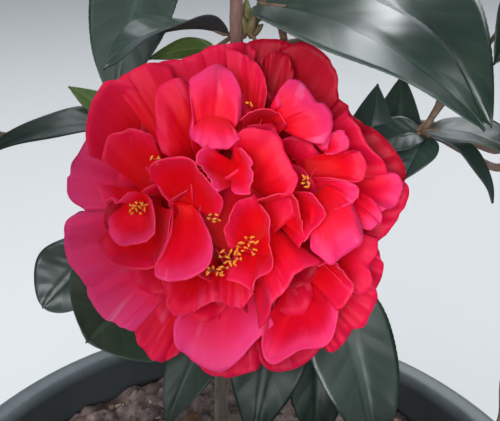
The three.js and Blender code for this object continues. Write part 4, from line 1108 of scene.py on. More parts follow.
def green_finish(name, deep, light, gloss, coat, shine=0.55):
    """The upper face of a leaf: dark green, with paler veins that branch from the midrib."""
    made = Finish(name)
    across, along, chart = made.chart()
    from_rib, comb = made.leaf_veins(across, along)
    vein = made.level(comb, (0, 1), (0.06, 0.35), (0.16, 0))
    rib = made.level(from_rib, (0, 1), (0.018, 0.8), (0.04, 0))
    patches = made.speckle(38, 3, 0.55)
    ground = made.ramp(patches, (0.3, deep), (0.7, light))
    pale = tuple(min(1, value * 1.9 + 0.02) for value in light)
    veined = made.mix(vein * 0.16, ground, pale)
    made.set({"Base Color": made.mix(rib * 0.6, veined, pale)})
    made.set({"Roughness": made.level(patches, (0.3, gloss), (0.75, gloss + 0.12))})
    made.set({"Coat Weight": coat, "Coat Roughness": 0.34, "Specular IOR Level": shine})
    fine = made.speckle(700, 2, 0.6)
    made.bump(fine * 0.12 - vein * 0.4, 0.0002, 0.6)
    return made.material


def under_finish(name, deep, light):
    """The matt, paler under face of a leaf, with its net of raised veins."""
    made = Finish(name)
    across, along, chart = made.chart()
    from_rib, comb = made.leaf_veins(across, along)
    vein = made.level(comb, (0, 1), (0.07, 0.3), (0.16, 0))
    ground = made.ramp(made.speckle(45), (0.3, deep), (0.7, light))
    made.set({"Base Color": made.mix(vein * 0.4, ground, tuple(min(1, value * 1.3) for value in light))})
    made.set({"Roughness": 0.62})
    made.bump(vein * 0.6 + made.speckle(500, 2) * 0.2, 0.0003, 0.6)
    return made.material


def petal_finish(name, root, middle, lip, pale, sheen):
    """A petal: darkest at its root and pinker towards its lip, the pink a painted sheen, with fine streaks
    that run out to its lip.
    """
    made = Finish(name)
    across, along, chart = made.chart()
    own = made.node("ShaderNodeVectorMath", {"operation": "SCALE"}, {0: made.place(), "Scale": 60})
    drawn_out = made.added(made.stretched(chart, (26, 2.2, 1)), own)
    streaks = made.speckle(3, 4, 0.6, drawn_out)
    clouds = made.speckle(60, 3, 0.55)
    place = along + (streaks - 0.5) * 0.26 + (clouds - 0.5) * 0.2
    # Painted sheen: the colour runs from a dark root to a pinker lip, the pink standing in for the sky's
    # sheen
    colour = made.ramp(place, (0.15, root), (0.66, middle), (1.0, lip))
    wide = made.added(made.stretched(chart, (7, 1.2, 1)), own)
    flecks = made.level(made.speckle(1, 2, 0.5, wide), (0.64, 0), (0.72, 1))
    flecks = flecks * made.level(along, (0.55, 0), (0.9, 1))
    made.set({"Base Color": made.mix(flecks * 0.4, colour, pale)})
    made.set({"Roughness": made.level(clouds, (0.3, 0.42), (0.7, 0.58))})
    made.set({"Sheen Weight": sheen, "Sheen Roughness": 0.45, "Sheen Tint": (1, 0.45, 0.6, 1)})
    made.set({"Subsurface Weight": 0.25, "Subsurface Radius": (1, 0.12, 0.1), "Subsurface Scale": 0.0015})
    made.set({"Specular IOR Level": 0.2})
    made.bump(streaks * 0.7 + made.speckle(900, 2) * 0.25, 0.0004, 0.5)
    return made.material


def plain_finish(name, dark, light, scale, rough, relief=0.0, depth=0.0003):
    """One colour that drifts between two shades, with a little relief."""
    made = Finish(name)
    drift = made.speckle(scale, 4, 0.6)
    made.set({"Base Color": made.ramp(drift, (0.3, dark), (0.7, light))})
    made.set({"Roughness": rough})
    if relief:
        made.bump(drift, depth, relief)
    return made.material


def bark_finish(name):
    """Thin smooth bark: grey-brown and cracked at the foot, reddish higher up."""
    made = Finish(name)
    place = made.place()
    height = made.parts()[2]
    long_grain = made.speckle(1, 5, 0.62, made.stretched(place, (900, 900, 160)))
    patches = made.speckle(1, 4, 0.6, made.stretched(place, (160, 160, 60)))
    old = made.ramp(patches * 0.6 + long_grain * 0.4, (0.3, (0.13, 0.1, 0.08)), (0.5, (0.3, 0.24, 0.2)),
                    (0.72, (0.45, 0.39, 0.34)))
    young = made.ramp(patches * 0.5 + long_grain * 0.5, (0.3, (0.16, 0.07, 0.055)), (0.7, (0.38, 0.2, 0.17)))
    made.set({"Base Color": made.mix(made.level(height * 1.6, (0.56, 0), (0.84, 1)), old, young)})
    made.set({"Roughness": made.level(patches, (0.3, 0.62), (0.7, 0.8))})
    made.bump(long_grain, 0.0006, 0.8)
    return made.material


def pot_finish(colour):
    """Moulded plastic: dusty and finely pitted, with a painted highlight along the crest of the lip."""
    made = Finish("moulded plastic")
    scuffs = made.speckle(55, 5, 0.65)
    dust = made.speckle(9, 4, 0.6)
    base = Vector(colour)
    dusty = base * 2.2 + Vector((0.012, 0.011, 0.009))
    x, y, z = made.parts()
    away = (x * x + y * y) ** 0.5
    # Painted highlight: the top of the lip's crest is made paler, standing in for the sky's reflection there
    crest_highlight = made.level((away - CREST_HIGHLIGHT_RADIUS) * 50, (0.05, 0), (0.4, 1), (0.6, 1), (0.85, 0))
    crest_highlight = crest_highlight * made.level((z - CREST_HIGHLIGHT_HEIGHT) * 100, (0.4, 0), (0.8, 1))
    plain = made.ramp(dust, (0.35, base), (0.75, dusty))
    made.set({"Base Color": made.mix(crest_highlight * made.level(scuffs, (0.3, 0.5), (0.7, 1)), plain, base * 5)})
    made.set({"Roughness": made.level(scuffs, (0.3, 0.38), (0.7, 0.54)), "Specular IOR Level": 0.4})
    made.bump(made.speckle(1400, 2, 0.5), 0.00015, 0.35)
    return made.material


def soil_finish(colour):
    """Potting soil: grains and clods, with painted shade darkening the gaps between the clods and the low
    hollows.
    """
    made = Finish("potting soil")
    base = Vector(colour)
    clods = made.speckle(70, 6, 0.7)
    grains = made.speckle(420, 4, 0.7)
    tone_and_shade = clods * 0.55 + grains * 0.45
    height = made.parts()[2]
    # Painted shade: the soil darkens below its level, in the hollows where shade falls
    gap = made.level((height - (SOIL_LEVEL - 7) / 1000) * 100, (0, 0.35), (0.45, 1))
    # The ramp gives the grains and clods random tone, and is also painted shade: its darkest end lies in the
    # low spots of the relief that the bump draws
    plain = made.ramp(tone_and_shade, (0.34, base * 0.28), (0.5, base), (0.66, base * 1.7))
    made.set({"Base Color": made.mix(1.0, plain, gap, "MULTIPLY")})
    made.set({"Roughness": 0.95, "Specular IOR Level": 0.2})
    made.bump(tone_and_shade, 0.0025, 0.9)
    return made.material


def add_turned(shape, outline, steps, tint=0):
    """Spins an outline of (radius, height) places round the plant's axis."""
    places = [shape.verts.new((radius, 0, height)) for radius, height in outline]
    edges = [shape.edges.new(pair) for pair in zip(places, places[1:])]
    bmesh.ops.spin(
        shape, geom=places + edges, cent=(0, 0, 0), axis=(0, 0, 1), angle=2 * math.pi, steps=steps,
        use_merge=True,
    )
    bmesh.ops.remove_doubles(shape, verts=shape.verts, dist=1e-3)
    bmesh.ops.recalc_face_normals(shape, faces=shape.faces)
    for face in shape.faces:
        face.smooth = True
        face.material_index = tint


def soil_height(x, y):
    """The soil's top: level at the trunk, with clods and hollows further out."""
    away = math.hypot(x, y)
    spot = Vector((x, y, 0))
    near, next_near = noise.voronoi(spot * CLODS_A_MILLIMETRE)[0][:2]
    clod = smooth((next_near - near) * 2.6)
    lumps = noise.fractal(spot * 0.055, 1.0, 2.0, 5) * LUMP_RISE + (clod - 0.75) * CLOD_RISE
    return SOIL_LEVEL - SOIL_SINK + lumps * (0.35 + 0.65 * smooth((away - 10) / 60))


def add_chip(shape, place, turn, size, tint):
    """A bark chip: a flat, slanted block with worn edges."""
    made = bmesh.ops.create_cube(shape, size=1)["verts"]
    long, wide, thick = [side * size for side in CHIP_SIZES]
    for vertex in made:
        slant = 1 + 0.5 * vertex.co.x
        own = Vector((vertex.co.x * long, vertex.co.y * wide * slant, vertex.co.z * thick))
        vertex.co = place + turn @ own
    faces = {face for vertex in made for face in vertex.link_faces}
    for face in faces:
        face.material_index = tint
    edges = list({edge for face in faces for edge in face.edges})
    bmesh.ops.bevel(
        shape, geom=edges, offset=0.25 * size, offset_type="OFFSET", segments=1, profile=0.5,
        affect="EDGES", material=-1, clamp_overlap=True,
    )


def add_leaf_bit(shape, place, turn, size, curl):
    """A bit of dry leaf with its edges curled up."""

    def lay(u, v):
        half = LEAF_BIT_HALF_WIDTH * size * math.sin(math.pi * min(max(v, 0.02), 0.98)) ** 0.8
        raised = 1.2 + curl * 0.25 * (u * u + (2 * v - 1) ** 2)
        return place + turn @ Vector((u * half, (v - 0.5) * LEAF_BIT_LENGTH * size, raised))

    made = add_sheet(shape, 4, 6, lay, 4)
    thick = bmesh.ops.extrude_face_region(
        shape, geom=list({face for vertex in made for face in vertex.link_faces})
    )["geom"]
    moved = [part for part in thick if isinstance(part, bmesh.types.BMVert)]
    bmesh.ops.translate(shape, verts=moved, vec=(0, 0, -0.4))


class PotSizes(bpy.types.PropertyGroup):
    steps: bpy.props.IntProperty(
        name="Steps round", description="How many steps the pot's wall is turned in", default=144, min=24
    )
    edge: bpy.props.FloatProperty(
        name="Edge", description="How wide the pot's edges are rounded", default=0.0012, unit="LENGTH"
    )
    colour: bpy.props.FloatVectorProperty(
        name="Colour", description="The colour of the pot's plastic", default=(0.022, 0.027, 0.029),
        subtype="COLOR",
    )


class SoilSizes(bpy.types.PropertyGroup):
    chips: bpy.props.IntProperty(
        name="Chips", description="How many chips, clods and leaf bits lie on the soil", default=900, min=0
    )
    colour: bpy.props.FloatVectorProperty(
        name="Colour", description="The colour of dry soil", default=(0.18, 0.13, 0.12), subtype="COLOR"
    )


class LimbSizes(bpy.types.PropertyGroup):
    relief: bpy.props.FloatProperty(
        name="Relief", description="How deep the bark's furrows are, as a share of a limb's radius",
        default=0.1,
    )
    fineness: bpy.props.FloatProperty(
        name="Fineness", description="The size of the faces that the wood is joined with", default=0.0007,
        unit="LENGTH",
    )


class LeafSizes(bpy.types.PropertyGroup):
    thickness: bpy.props.FloatProperty(
        name="Thickness", description="How thick a leaf is", default=0.0005, unit="LENGTH"
    )
    finer: bpy.props.BoolProperty(
        name="Finer twigs", description="Carries each mass of leaves on to finer twigs", default=True
    )


class BloomSizes(bpy.types.PropertyGroup):
    thickness: bpy.props.FloatProperty(
        name="Thickness", description="How thick a petal is", default=0.0004, unit="LENGTH"
    )
    anther: bpy.props.FloatVectorProperty(
        name="Anther colour", description="The colour of the anthers", default=(0.86, 0.28, 0.02),
        subtype="COLOR",
    )


class StageSizes(bpy.types.PropertyGroup):
    floor: bpy.props.FloatProperty(
        name="Floor", description="The radius of the floor that the pot stands on", default=6.0, unit="LENGTH"
    )
    light: bpy.props.FloatProperty(
        name="Light", description="The power of the large soft light above", default=180.0, unit="POWER"
    )
    floor_colour: bpy.props.FloatVectorProperty(
        name="Floor colour", description="The colour of the floor", default=(0.26, 0.262, 0.262),
        subtype="COLOR",
    )


class CAMELLIA_OT_pot(bpy.types.Operator):
    """Turns the pot with its rolled lip"""

    bl_idname = "camellia.pot"
    bl_label = "Pot"

    def execute(self, context):
        sizes = context.scene.camellia_pot
        shape = new_shape()
        add_turned(shape, POT_OUTLINE, sizes.steps)
        rounded = ("BEVEL", {"width": sizes.edge, "segments": 3, "limit_method": "ANGLE", "angle_limit": 0.3})
        finish_piece(shape, "pot_body", [pot_finish(sizes.colour)], ["pot"], [rounded])
        return {"FINISHED"}


class CAMELLIA_OT_soil(bpy.types.Operator):
    """Fills the pot with uneven soil"""

    bl_idname = "camellia.soil"
    bl_label = "Soil"

    def execute(self, context):
        sizes = context.scene.camellia_soil
        shape = new_shape()
        outline = [(0, SOIL_FLOOR), (POT_FOOT_RADIUS - POT_WALL - 2, SOIL_FLOOR), SOIL_WALL]
        outline += [(SOIL_EDGE * i / SOIL_RINGS, SOIL_LEVEL) for i in range(SOIL_RINGS, -1, -1)]
        add_turned(shape, outline, SOIL_STEPS)
        for vertex in shape.verts:
            if vertex.co.z > SOIL_LEVEL - 1:
                vertex.co.z = soil_height(vertex.co.x, vertex.co.y)
        finish_piece(shape, "soil_fill", [soil_finish(sizes.colour)], ["soil"])
        return {"FINISHED"}


class CAMELLIA_OT_litter(bpy.types.Operator):
    """Scatters bark chips, clods and dry leaf bits over the soil"""

    bl_idname = "camellia.litter"
    bl_label = "Litter"

    def execute(self, context):
        shape = new_shape()
        draw = seeded(LITTER_SEED)
        trunk_foot = Vector(TRUNK[0])
        for k in range(context.scene.camellia_soil.chips):
            away = (SOIL_EDGE - CLEAR_OF_WALL) * math.sqrt(draw())
            angle = draw() * 2 * math.pi
            x, y = away * math.cos(angle), away * math.sin(angle)
            kind, size = draw(), 0.5 + draw() ** 2
            turn = Matrix.Rotation(draw() * 6.3, 3, "Z") @ Matrix.Rotation((draw() - 0.5) * 0.9, 3, "X")
            turn = turn @ Matrix.Rotation((draw() - 0.5) * 0.9, 3, "Y")
            if (Vector((x, y, 0)) - Vector((trunk_foot.x, trunk_foot.y, 0))).length < CLEAR_OF_TRUNK:
                continue
            place = Vector((x, y, soil_height(x, y) + LITTER_RISE))
            if kind < CLOD_SHARE:
                tint = 0 if draw() < 0.5 else 1
                add_ball(shape, place, turn, [half * size for half in CLOD_SIZES], 1, tint)
            elif kind < CHIP_SHARE:
                add_chip(shape, place, turn, size, 1 + int(draw() * 3))
            elif kind < LEAF_BIT_SHARE:
                add_leaf_bit(shape, place, turn, size, 3 + 4 * draw())
        bmesh.ops.recalc_face_normals(shape, faces=shape.faces)
        finishes = [
            plain_finish("soil crumb", (0.09, 0.066, 0.058), (0.27, 0.2, 0.18), 160, 0.95, 0.8, 0.001),
            plain_finish("bark chip", (0.12, 0.07, 0.045), (0.3, 0.2, 0.14), 190, 0.88, 0.8, 0.0008),
            plain_finish("pale chip", (0.3, 0.22, 0.17), (0.5, 0.4, 0.33), 190, 0.85, 0.8, 0.0008),
            plain_finish("dark chip", (0.035, 0.025, 0.02), (0.1, 0.065, 0.05), 190, 0.88, 0.8, 0.0008),
            plain_finish("dry leaf", (0.16, 0.075, 0.035), (0.38, 0.2, 0.1), 90, 0.75, 0.6, 0.0006),
        ]
        finish_piece(shape, "litter", finishes)
        return {"FINISHED"}


class CAMELLIA_OT_wood(bpy.types.Operator):
    """Joins the trunk and its boughs into one piece of wood with flared forks and furrowed bark"""

    bl_idname = "camellia.wood"
    bl_label = "Trunk and boughs"

    def execute(self, context):
        sizes = context.scene.camellia_limbs

        def relief(spot, radius):
            furrow = noise.fractal(Vector((spot.x * 0.5, spot.y * 0.5, spot.z * 0.11)), 1.0, 2.1, 4)
            knot = noise.noise(Vector((spot.x * 0.12, spot.y * 0.12, spot.z * 0.06 + 7)))
            return radius * (sizes.relief * furrow + 0.14 * knot)

        shape = new_shape()
        add_limb(shape, TRUNK, trunk_radius, *TRUNK_STEPS, relief)
        for name, fork, via, middle in CROWN[:-1]:
            def radius_at(t):
                flare = FORK_FLARE * math.exp(-t * FORK_FADE)
                return BOUGH_RADIUS + (BOUGH_TIP_RADIUS - BOUGH_RADIUS) * t + flare

            add_limb(shape, bough_points(fork, via, middle), radius_at, *BOUGH_STEPS, relief)
        stalk = [from_front((0, 0, -20)), from_front((-1, 0, -32)), trunk_at(STALK_HEIGHT)]
        add_limb(shape, stalk, taper(*STALK_RADII), *STALK_STEPS, relief)
        names = ["trunk"] + ["bough_" + name for name, fork, via, middle in CROWN[:-1]]
        joined = ("REMESH", {"mode": "VOXEL", "voxel_size": sizes.fineness, "use_smooth_shade": True})
        finish_piece(shape, "trunk_and_boughs", [bark_finish("bark")], names, [joined])
        return {"FINISHED"}


def grow_crown(finer):
    """Grows the crown's masses, clear of the wood, of the sprays at the bloom and of each other."""
    clearance = Clearance()
    clearance.add_limb(TRUNK, trunk_radius)
    for name, fork, via, middle in CROWN[:-1]:
        clearance.add_limb(bough_points(fork, via, middle), taper(BOUGH_RADIUS, BOUGH_TIP_RADIUS))
    for grown in [grow_spray(spray) for spray in SPRAYS]:
        for twig in grown["twigs"]:
            clearance.add_limb(twig, lambda t: TWIG_RADIUS)
        for leaf in grown["leaves"]:
            for place in leaf_samples(leaf):
                clearance.add(place, SPRAY_GAP)
    masses = []
    for index, (name, fork, via, middle) in enumerate(CROWN):
        points = bough_points(fork, via, middle) if via else TRUNK
        direction = Curve(points).tangent(1)
        masses.append(grow_mass(index, Vector(points[-1]) + direction * GAP, direction, clearance))
    if finer:
        for index, grown in enumerate(masses):
            add_finer_growth(grown, index, clearance)
    return masses


def crown_finishes():
    """The upper faces of the crown's four tints of leaf and their midrib, and then the same under faces."""
    return [
        green_finish("bright leaf", (0.016, 0.055, 0.026), (0.034, 0.095, 0.04), 0.24, 0.4),
        green_finish("deep leaf", (0.008, 0.03, 0.019), (0.017, 0.052, 0.03), 0.24, 0.4),
        green_finish("middle leaf", (0.011, 0.04, 0.022), (0.022, 0.07, 0.034), 0.24, 0.4),
        green_finish("young leaf", (0.06, 0.12, 0.024), (0.1, 0.18, 0.045), 0.24, 0.4),
        plain_finish("leaf rib", (0.07, 0.15, 0.06), (0.13, 0.22, 0.1), 60, 0.4),
        under_finish("bright under leaf", (0.08, 0.14, 0.07), (0.15, 0.22, 0.12)),
        under_finish("deep under leaf", (0.06, 0.1, 0.075), (0.11, 0.17, 0.12)),
        under_finish("middle under leaf", (0.07, 0.12, 0.07), (0.12, 0.19, 0.11)),
        under_finish("young under leaf", (0.12, 0.2, 0.06), (0.2, 0.28, 0.1)),
        plain_finish("under leaf rib", (0.14, 0.2, 0.11), (0.22, 0.28, 0.16), 60, 0.5),
    ]


class CAMELLIA_OT_crown(bpy.types.Operator):
    """Grows the twigs, leaves and buds of the crown's masses"""

    bl_idname = "camellia.crown"
    bl_label = "Crown"

    def execute(self, context):
        sizes = context.scene.camellia_leaves
        masses = grow_crown(sizes.finer)
        halves = (("upper_leaves", slice(UPPER_MASSES)), ("lower_leaves", slice(UPPER_MASSES, None)))
        for number, (name, half) in enumerate(halves):
            shape = new_shape()
            draw = seeded(LEAF_TINT_SEED + number)
            for grown in masses[half]:
                for leaf in grown["leaves"]:
                    add_crown_leaf(shape, leaf, min(3, int(draw() * 3.25)))
            replaced = ["foliage_" + row[0] for row in CROWN[half]]
            finish_piece(shape, name, crown_finishes(), replaced, [thickened(sizes.thickness)])
        shape = new_shape()
        add_twigs(shape, masses)
        finish_piece(shape, "twigs", [young_bark()])
        shape = new_shape()
        for grown in masses:
            for twig in grown["twigs"]:
                curve = Curve(twig)
                add_bud(shape, curve.point(1), curve.tangent(1), BUD_LENGTH)
        bud = plain_finish("leaf bud", (0.1, 0.16, 0.05), (0.24, 0.26, 0.1), 150, 0.45)
        finish_piece(shape, "leaf_buds", [bud])
        return {"FINISHED"}


def thickened(thickness):
    """Gives leaves a thickness, with finishes of their own for the under faces and the rims."""
    return ("SOLIDIFY", {"thickness": thickness, "offset": -1, "material_offset": UNDER_FINISHES_AT,
                         "material_offset_rim": UNDER_FINISHES_AT})


def add_twigs(shape, masses):
    for grown in masses:
        add_limb(shape, grown["stem"], taper(BOUGH_TIP_RADIUS, TWIG_RADIUS), 8, 18)
        for twig in grown["twigs"]:
            add_limb(shape, twig, taper(TWIG_RADIUS * 0.9, 0.6), 6, 8)


def young_bark():
    return plain_finish("young bark", (0.14, 0.08, 0.05), (0.3, 0.2, 0.13), 120, 0.6, 0.5)


def near_finishes():
    """The upper faces of the five tints of leaf round the bloom, and then their under faces."""
    return [
        green_finish("glossy leaf", (0.012, 0.034, 0.024), (0.022, 0.052, 0.036), 0.36, 1.0, 1.0),
        green_finish("grey leaf", (0.018, 0.042, 0.032), (0.032, 0.066, 0.05), 0.4, 0.7, 0.7),
        green_finish("shaded leaf", (0.008, 0.024, 0.015), (0.015, 0.04, 0.024), 0.45, 0.22),
        green_finish("lime leaf", (0.09, 0.17, 0.03), (0.16, 0.26, 0.06), 0.35, 0.3),
        green_finish("middle leaf", (0.03, 0.065, 0.036), (0.05, 0.1, 0.055), 0.42, 0.4),
        under_finish("glossy under leaf", (0.07, 0.1, 0.09), (0.13, 0.17, 0.15)),
        under_finish("grey under leaf", (0.025, 0.034, 0.038), (0.055, 0.062, 0.07)),
        under_finish("shaded under leaf", (0.05, 0.09, 0.07), (0.1, 0.15, 0.12)),
        under_finish("lime under leaf", (0.12, 0.2, 0.06), (0.2, 0.28, 0.1)),
        under_finish("middle under leaf", (0.05, 0.09, 0.06), (0.09, 0.14, 0.09)),
    ]


class CAMELLIA_OT_near_leaves(bpy.types.Operator):
    """Sets the large leaves round the bloom, each with its own veins and bends, on their twigs"""

    bl_idname = "camellia.near_leaves"
    bl_label = "Leaves round the bloom"

    def execute(self, context):
        sprays = [grow_spray(spray) for spray in SPRAYS]
        shape = new_shape()
        for number, leaf in enumerate(leaf for grown in sprays for leaf in grown["leaves"]):
            add_near_leaf(shape, leaf, number, leaf["tint"])
        solid = thickened(context.scene.camellia_leaves.thickness)
        names = ["foliage_" + spray[0] for spray in SPRAYS]
        finish_piece(shape, "leaves_round_bloom", near_finishes(), names, [solid])
        shape = new_shape()
        add_twigs(shape, sprays)
        finish_piece(shape, "twigs_round_bloom", [young_bark()])
        return {"FINISHED"}


class CAMELLIA_OT_bud_scales(bpy.types.Operator):
    """Sets the dry bud scales and the cut stub at the foot of the upper spray"""

    bl_idname = "camellia.bud_scales"
    bl_label = "Bud scales"

    def execute(self, context):
        shape = new_shape()
        for k, (foot, tip, width) in enumerate(BUD_SCALES):
            start, end = from_front(foot), from_front(tip)
            along = (end - start).normalized()
            across = along.cross(FORWARD).normalized()

            def place(x, y, start=start, end=end, across=across, width=width):
                half = width / 2 * leaf_outline(0.04 + 0.95 * y)
                bulge = -FORWARD * (width * 0.35 * (1 - x * x) * math.sin(math.pi * (0.15 + 0.85 * y)))
                return start.lerp(end, y) + across * (half * x) + bulge

            add_sheet(shape, 8, 12, place, k % 2)
        solid = ("SOLIDIFY", {"thickness": BUD_SCALE_THICKNESS, "offset": 0})
        brown = plain_finish("dry scale", (0.1, 0.075, 0.03), (0.24, 0.19, 0.08), 130, 0.55, 0.4)
        olive = plain_finish("olive scale", (0.12, 0.12, 0.04), (0.25, 0.24, 0.09), 130, 0.5, 0.4)
        finish_piece(shape, "bud_scales", [brown, olive], [], [solid])
        shape = new_shape()
        for points, start_radius, end_radius in STUBS:
            add_limb(shape, [from_front(place) for place in points], taper(start_radius, end_radius), 12, 16)
        stub = plain_finish("stub bark", (0.1, 0.05, 0.035), (0.26, 0.15, 0.1), 150, 0.7, 0.5)
        finish_piece(shape, "stubs", [stub])
        return {"FINISHED"}


class CAMELLIA_OT_petals(bpy.types.Operator):
    """Lays the bloom's petals, from the outer ones to the heart"""

    bl_idname = "camellia.petals"
    bl_label = "Petals"

    def execute(self, context):
        sizes = context.scene.camellia_bloom
        finishes = [petal_finish(tint + " petal", *PETAL_COLOURS[tint]) for tint in PETAL_TINTS]
        # Painted highlight: the petals' cut rims get a paler red, standing in for light caught on their edges
        finishes.append(plain_finish("petal rim highlight", (0.82, 0.004, 0.03), (0.86, 0.03, 0.1), 140, 0.55))
        solid = ("SOLIDIFY", {"thickness": sizes.thickness, "offset": 0, "material_offset_rim": 4})
        shape = new_shape()
        for number, petal in enumerate(PETALS):
            add_petal(shape, number, petal, *PETAL_STEPS)
        finish_piece(shape, "petals", finishes, ["bloom"], [solid])
        shape = new_shape()
        for number, petal in enumerate(filler_petals()):
            add_petal(shape, FIRST_FILLER + number, petal, *FILLER_STEPS)
        finish_piece(shape, "inner_petals", finishes, [], [solid])
        shape = new_shape()
        # The lump takes the "deep" tint, painted shade for the bloom's hidden middle
        add_ball(shape, from_front((0, 0, -BLOOM_BASE[2])), TO_EYE, BLOOM_BASE, 4)
        finish_piece(shape, "bloom_base", [finishes[PETAL_TINTS.index("deep")]])
        return {"FINISHED"}


class CAMELLIA_OT_stamens(bpy.types.Operator):
    """Sets the stamens between the bloom's petals"""

    bl_idname = "camellia.stamens"
    bl_label = "Stamens"

    def execute(self, context):
        shape = new_shape()
        draw = seeded(STAMEN_SEED)
        for (u, v, w), (wide, high), count in STAMENS:
            for k in range(count):
                angle = k * GOLDEN_ANGLE
                away = math.sqrt((k + 0.5) / count)
                place = (
                    u + wide * (away * math.cos(angle) + 0.5 * draw() - 0.25),
                    v + high * (away * math.sin(angle) + 0.5 * draw() - 0.25), w + 3 * draw(),
                )
                foot = from_front((u + (place[0] - u) * 0.3, v + (place[1] - v) * 0.3, w - STAMEN_DEPTH))
                top = from_front(place)
                bend = foot.lerp(top, 0.5) + UPWARD * (draw() - 0.5)
                add_limb(shape, [foot, bend, top], taper(*FILAMENT_RADII), 5, 4)
                turn = TO_EYE @ Matrix.Rotation(draw() * 3.1, 3, "Z")
                turn = turn @ Matrix.Rotation(draw() * 2 - 1, 3, "X")
                add_ball(shape, top, turn, (ANTHER[0], ANTHER[1] + 0.35 * draw(), ANTHER[2]), 2, 1)
        anther = context.scene.camellia_bloom.anther
        finishes = [
            plain_finish("filament", (0.8, 0.28, 0.2), (0.9, 0.45, 0.3), 200, 0.5),
            plain_finish("anther", Vector(anther) * 0.8, Vector(anther) * 1.1, 500, 0.7, 0.6),
        ]
        finish_piece(shape, "stamens", finishes)
        return {"FINISHED"}


class CAMELLIA_OT_calyx(bpy.types.Operator):
    """Wraps the back of the bloom in its scales"""

    bl_idname = "camellia.calyx"
    bl_label = "Calyx"

    def execute(self, context):
        shape = new_shape()
        for ring, (count, reach, back) in enumerate(CALYX_RINGS):
            for k in range(count):
                angle = (k + 0.5 * ring) * 2 * math.pi / count

                def place(x, y, angle=angle, reach=reach, back=back):
                    narrowed = max(0.0, y - CALYX_NARROWS) / (1 - CALYX_NARROWS)
                    turn = angle + x * CALYX_SPREAD * math.cos(0.5 * math.pi * narrowed)
                    away = CALYX_FOOT + (reach - CALYX_FOOT) * math.sin(0.5 * math.pi * y)
                    forward = (back + CALYX_DEPTH) * y * y - CALYX_DEPTH
                    return from_front((away * math.cos(turn), away * math.sin(turn), forward))

                add_sheet(shape, 8, 8, place)
        solid = ("SOLIDIFY", {"thickness": CALYX_THICKNESS, "offset": 0})
        scale = plain_finish("calyx scale", (0.14, 0.13, 0.05), (0.3, 0.26, 0.12), 120, 0.6, 0.4)
        finish_piece(shape, "calyx", [scale], [], [solid])
        return {"FINISHED"}


def add_floor(radius, colour):
    """A wide round floor just under the pot."""
    shape = bmesh.new()
    bmesh.ops.create_circle(shape, cap_ends=True, segments=96, radius=radius)
    mesh = bpy.data.meshes.new("Floor")
    shape.to_mesh(mesh)
    shape.free()
    mesh.materials.append(plain_finish("floor", Vector(colour) * 0.97, Vector(colour), 2, 0.8))
    floor = bpy.data.objects.new("Floor", mesh)
    floor.location.z = -0.0005
    bpy.context.scene.collection.objects.link(floor)


def add_world():
    """An even, faintly blue sky."""
    world = bpy.data.worlds.new("Studio")
    world.use_nodes = True
    backdrop = world.node_tree.nodes["Background"]
    backdrop.inputs["Color"].default_value = WORLD_COLOUR
    backdrop.inputs["Strength"].default_value = WORLD_STRENGTH
    bpy.context.scene.world = world


def add_lights(power):
    """The large soft light above, and two weaker ones that reach under the crown."""
    for name, size, share, place, look in LIGHTS:
        lamp = bpy.data.lights.new(name, "AREA")
        lamp.size = size
        lamp.energy = power * share
        lamp.color = LIGHT_COLOUR
        light = bpy.data.objects.new(name, lamp)
        light.location = place
        light.rotation_euler = (Vector(look) - Vector(place)).to_track_quat("-Z", "Y").to_euler()
        bpy.context.scene.collection.objects.link(light)


def add_camera():
    """The camera at the eye point that the bloom faces."""
    eye = bpy.data.cameras.new("Eye Point")
    eye.lens = eye.sensor_width * PHOTO_FOCAL / PHOTO_WIDTH
    eye.clip_start = 0.01
    camera = bpy.data.objects.new("Eye Point", eye)
    camera.location = EYE * MM
    camera.rotation_euler = (math.pi / 2 - EYE_DOWN, 0, 0)
    bpy.context.scene.collection.objects.link(camera)
    bpy.context.scene.camera = camera


class CAMELLIA_OT_stage(bpy.types.Operator):
    """Sets the floor, the soft light and the camera at the eye point that the bloom faces"""

    bl_idname = "camellia.stage"
    bl_label = "Stage"

    def execute(self, context):
        sizes = context.scene.camellia_stage
        add_floor(sizes.floor, sizes.floor_colour)
        add_world()
        add_lights(sizes.light)
        add_camera()
        context.scene.view_settings.view_transform = "Standard"
        return {"FINISHED"}


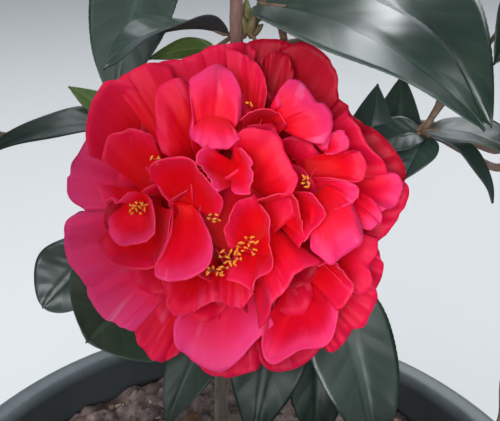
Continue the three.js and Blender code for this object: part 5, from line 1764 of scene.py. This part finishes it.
class CAMELLIA_PT_panel(bpy.types.Panel):
    """Lists the plant's pieces and their sizes"""

    bl_idname = "CAMELLIA_PT_panel"
    bl_label = "Potted Camellia"
    bl_space_type = "VIEW_3D"
    bl_region_type = "UI"
    bl_category = "Camellia"

    def draw(self, context):
        for name, group in GROUPS.items():
            box = self.layout.box()
            for key in group.__annotations__:
                box.prop(getattr(context.scene, name), key)
        for operator in OPERATORS:
            self.layout.operator(operator.bl_idname)


GROUPS = {
    "camellia_pot": PotSizes,
    "camellia_soil": SoilSizes,
    "camellia_limbs": LimbSizes,
    "camellia_leaves": LeafSizes,
    "camellia_bloom": BloomSizes,
    "camellia_stage": StageSizes,
}
OPERATORS = (
    CAMELLIA_OT_pot, CAMELLIA_OT_soil, CAMELLIA_OT_litter, CAMELLIA_OT_wood, CAMELLIA_OT_crown,
    CAMELLIA_OT_near_leaves, CAMELLIA_OT_bud_scales, CAMELLIA_OT_petals, CAMELLIA_OT_stamens,
    CAMELLIA_OT_calyx, CAMELLIA_OT_stage,
)


def register():
    for group in GROUPS.values():
        bpy.utils.register_class(group)
    for operator in OPERATORS:
        bpy.utils.register_class(operator)
    bpy.utils.register_class(CAMELLIA_PT_panel)
    for name, group in GROUPS.items():
        setattr(bpy.types.Scene, name, bpy.props.PointerProperty(type=group))


def unregister():
    for name in GROUPS:
        delattr(bpy.types.Scene, name)
    bpy.utils.unregister_class(CAMELLIA_PT_panel)
    for operator in reversed(OPERATORS):
        bpy.utils.unregister_class(operator)
    for group in reversed(GROUPS.values()):
        bpy.utils.unregister_class(group)


def main():
    register()
    bpy.ops.camellia.pot()
    bpy.ops.camellia.soil()
    bpy.ops.camellia.litter()
    bpy.ops.camellia.wood()
    bpy.ops.camellia.crown()
    bpy.ops.camellia.near_leaves()
    bpy.ops.camellia.bud_scales()
    bpy.ops.camellia.petals()
    bpy.ops.camellia.stamens()
    bpy.ops.camellia.calyx()
    bpy.ops.camellia.stage()
    bpy.context.view_layer.update()


if __name__ == "__main__":
    main()
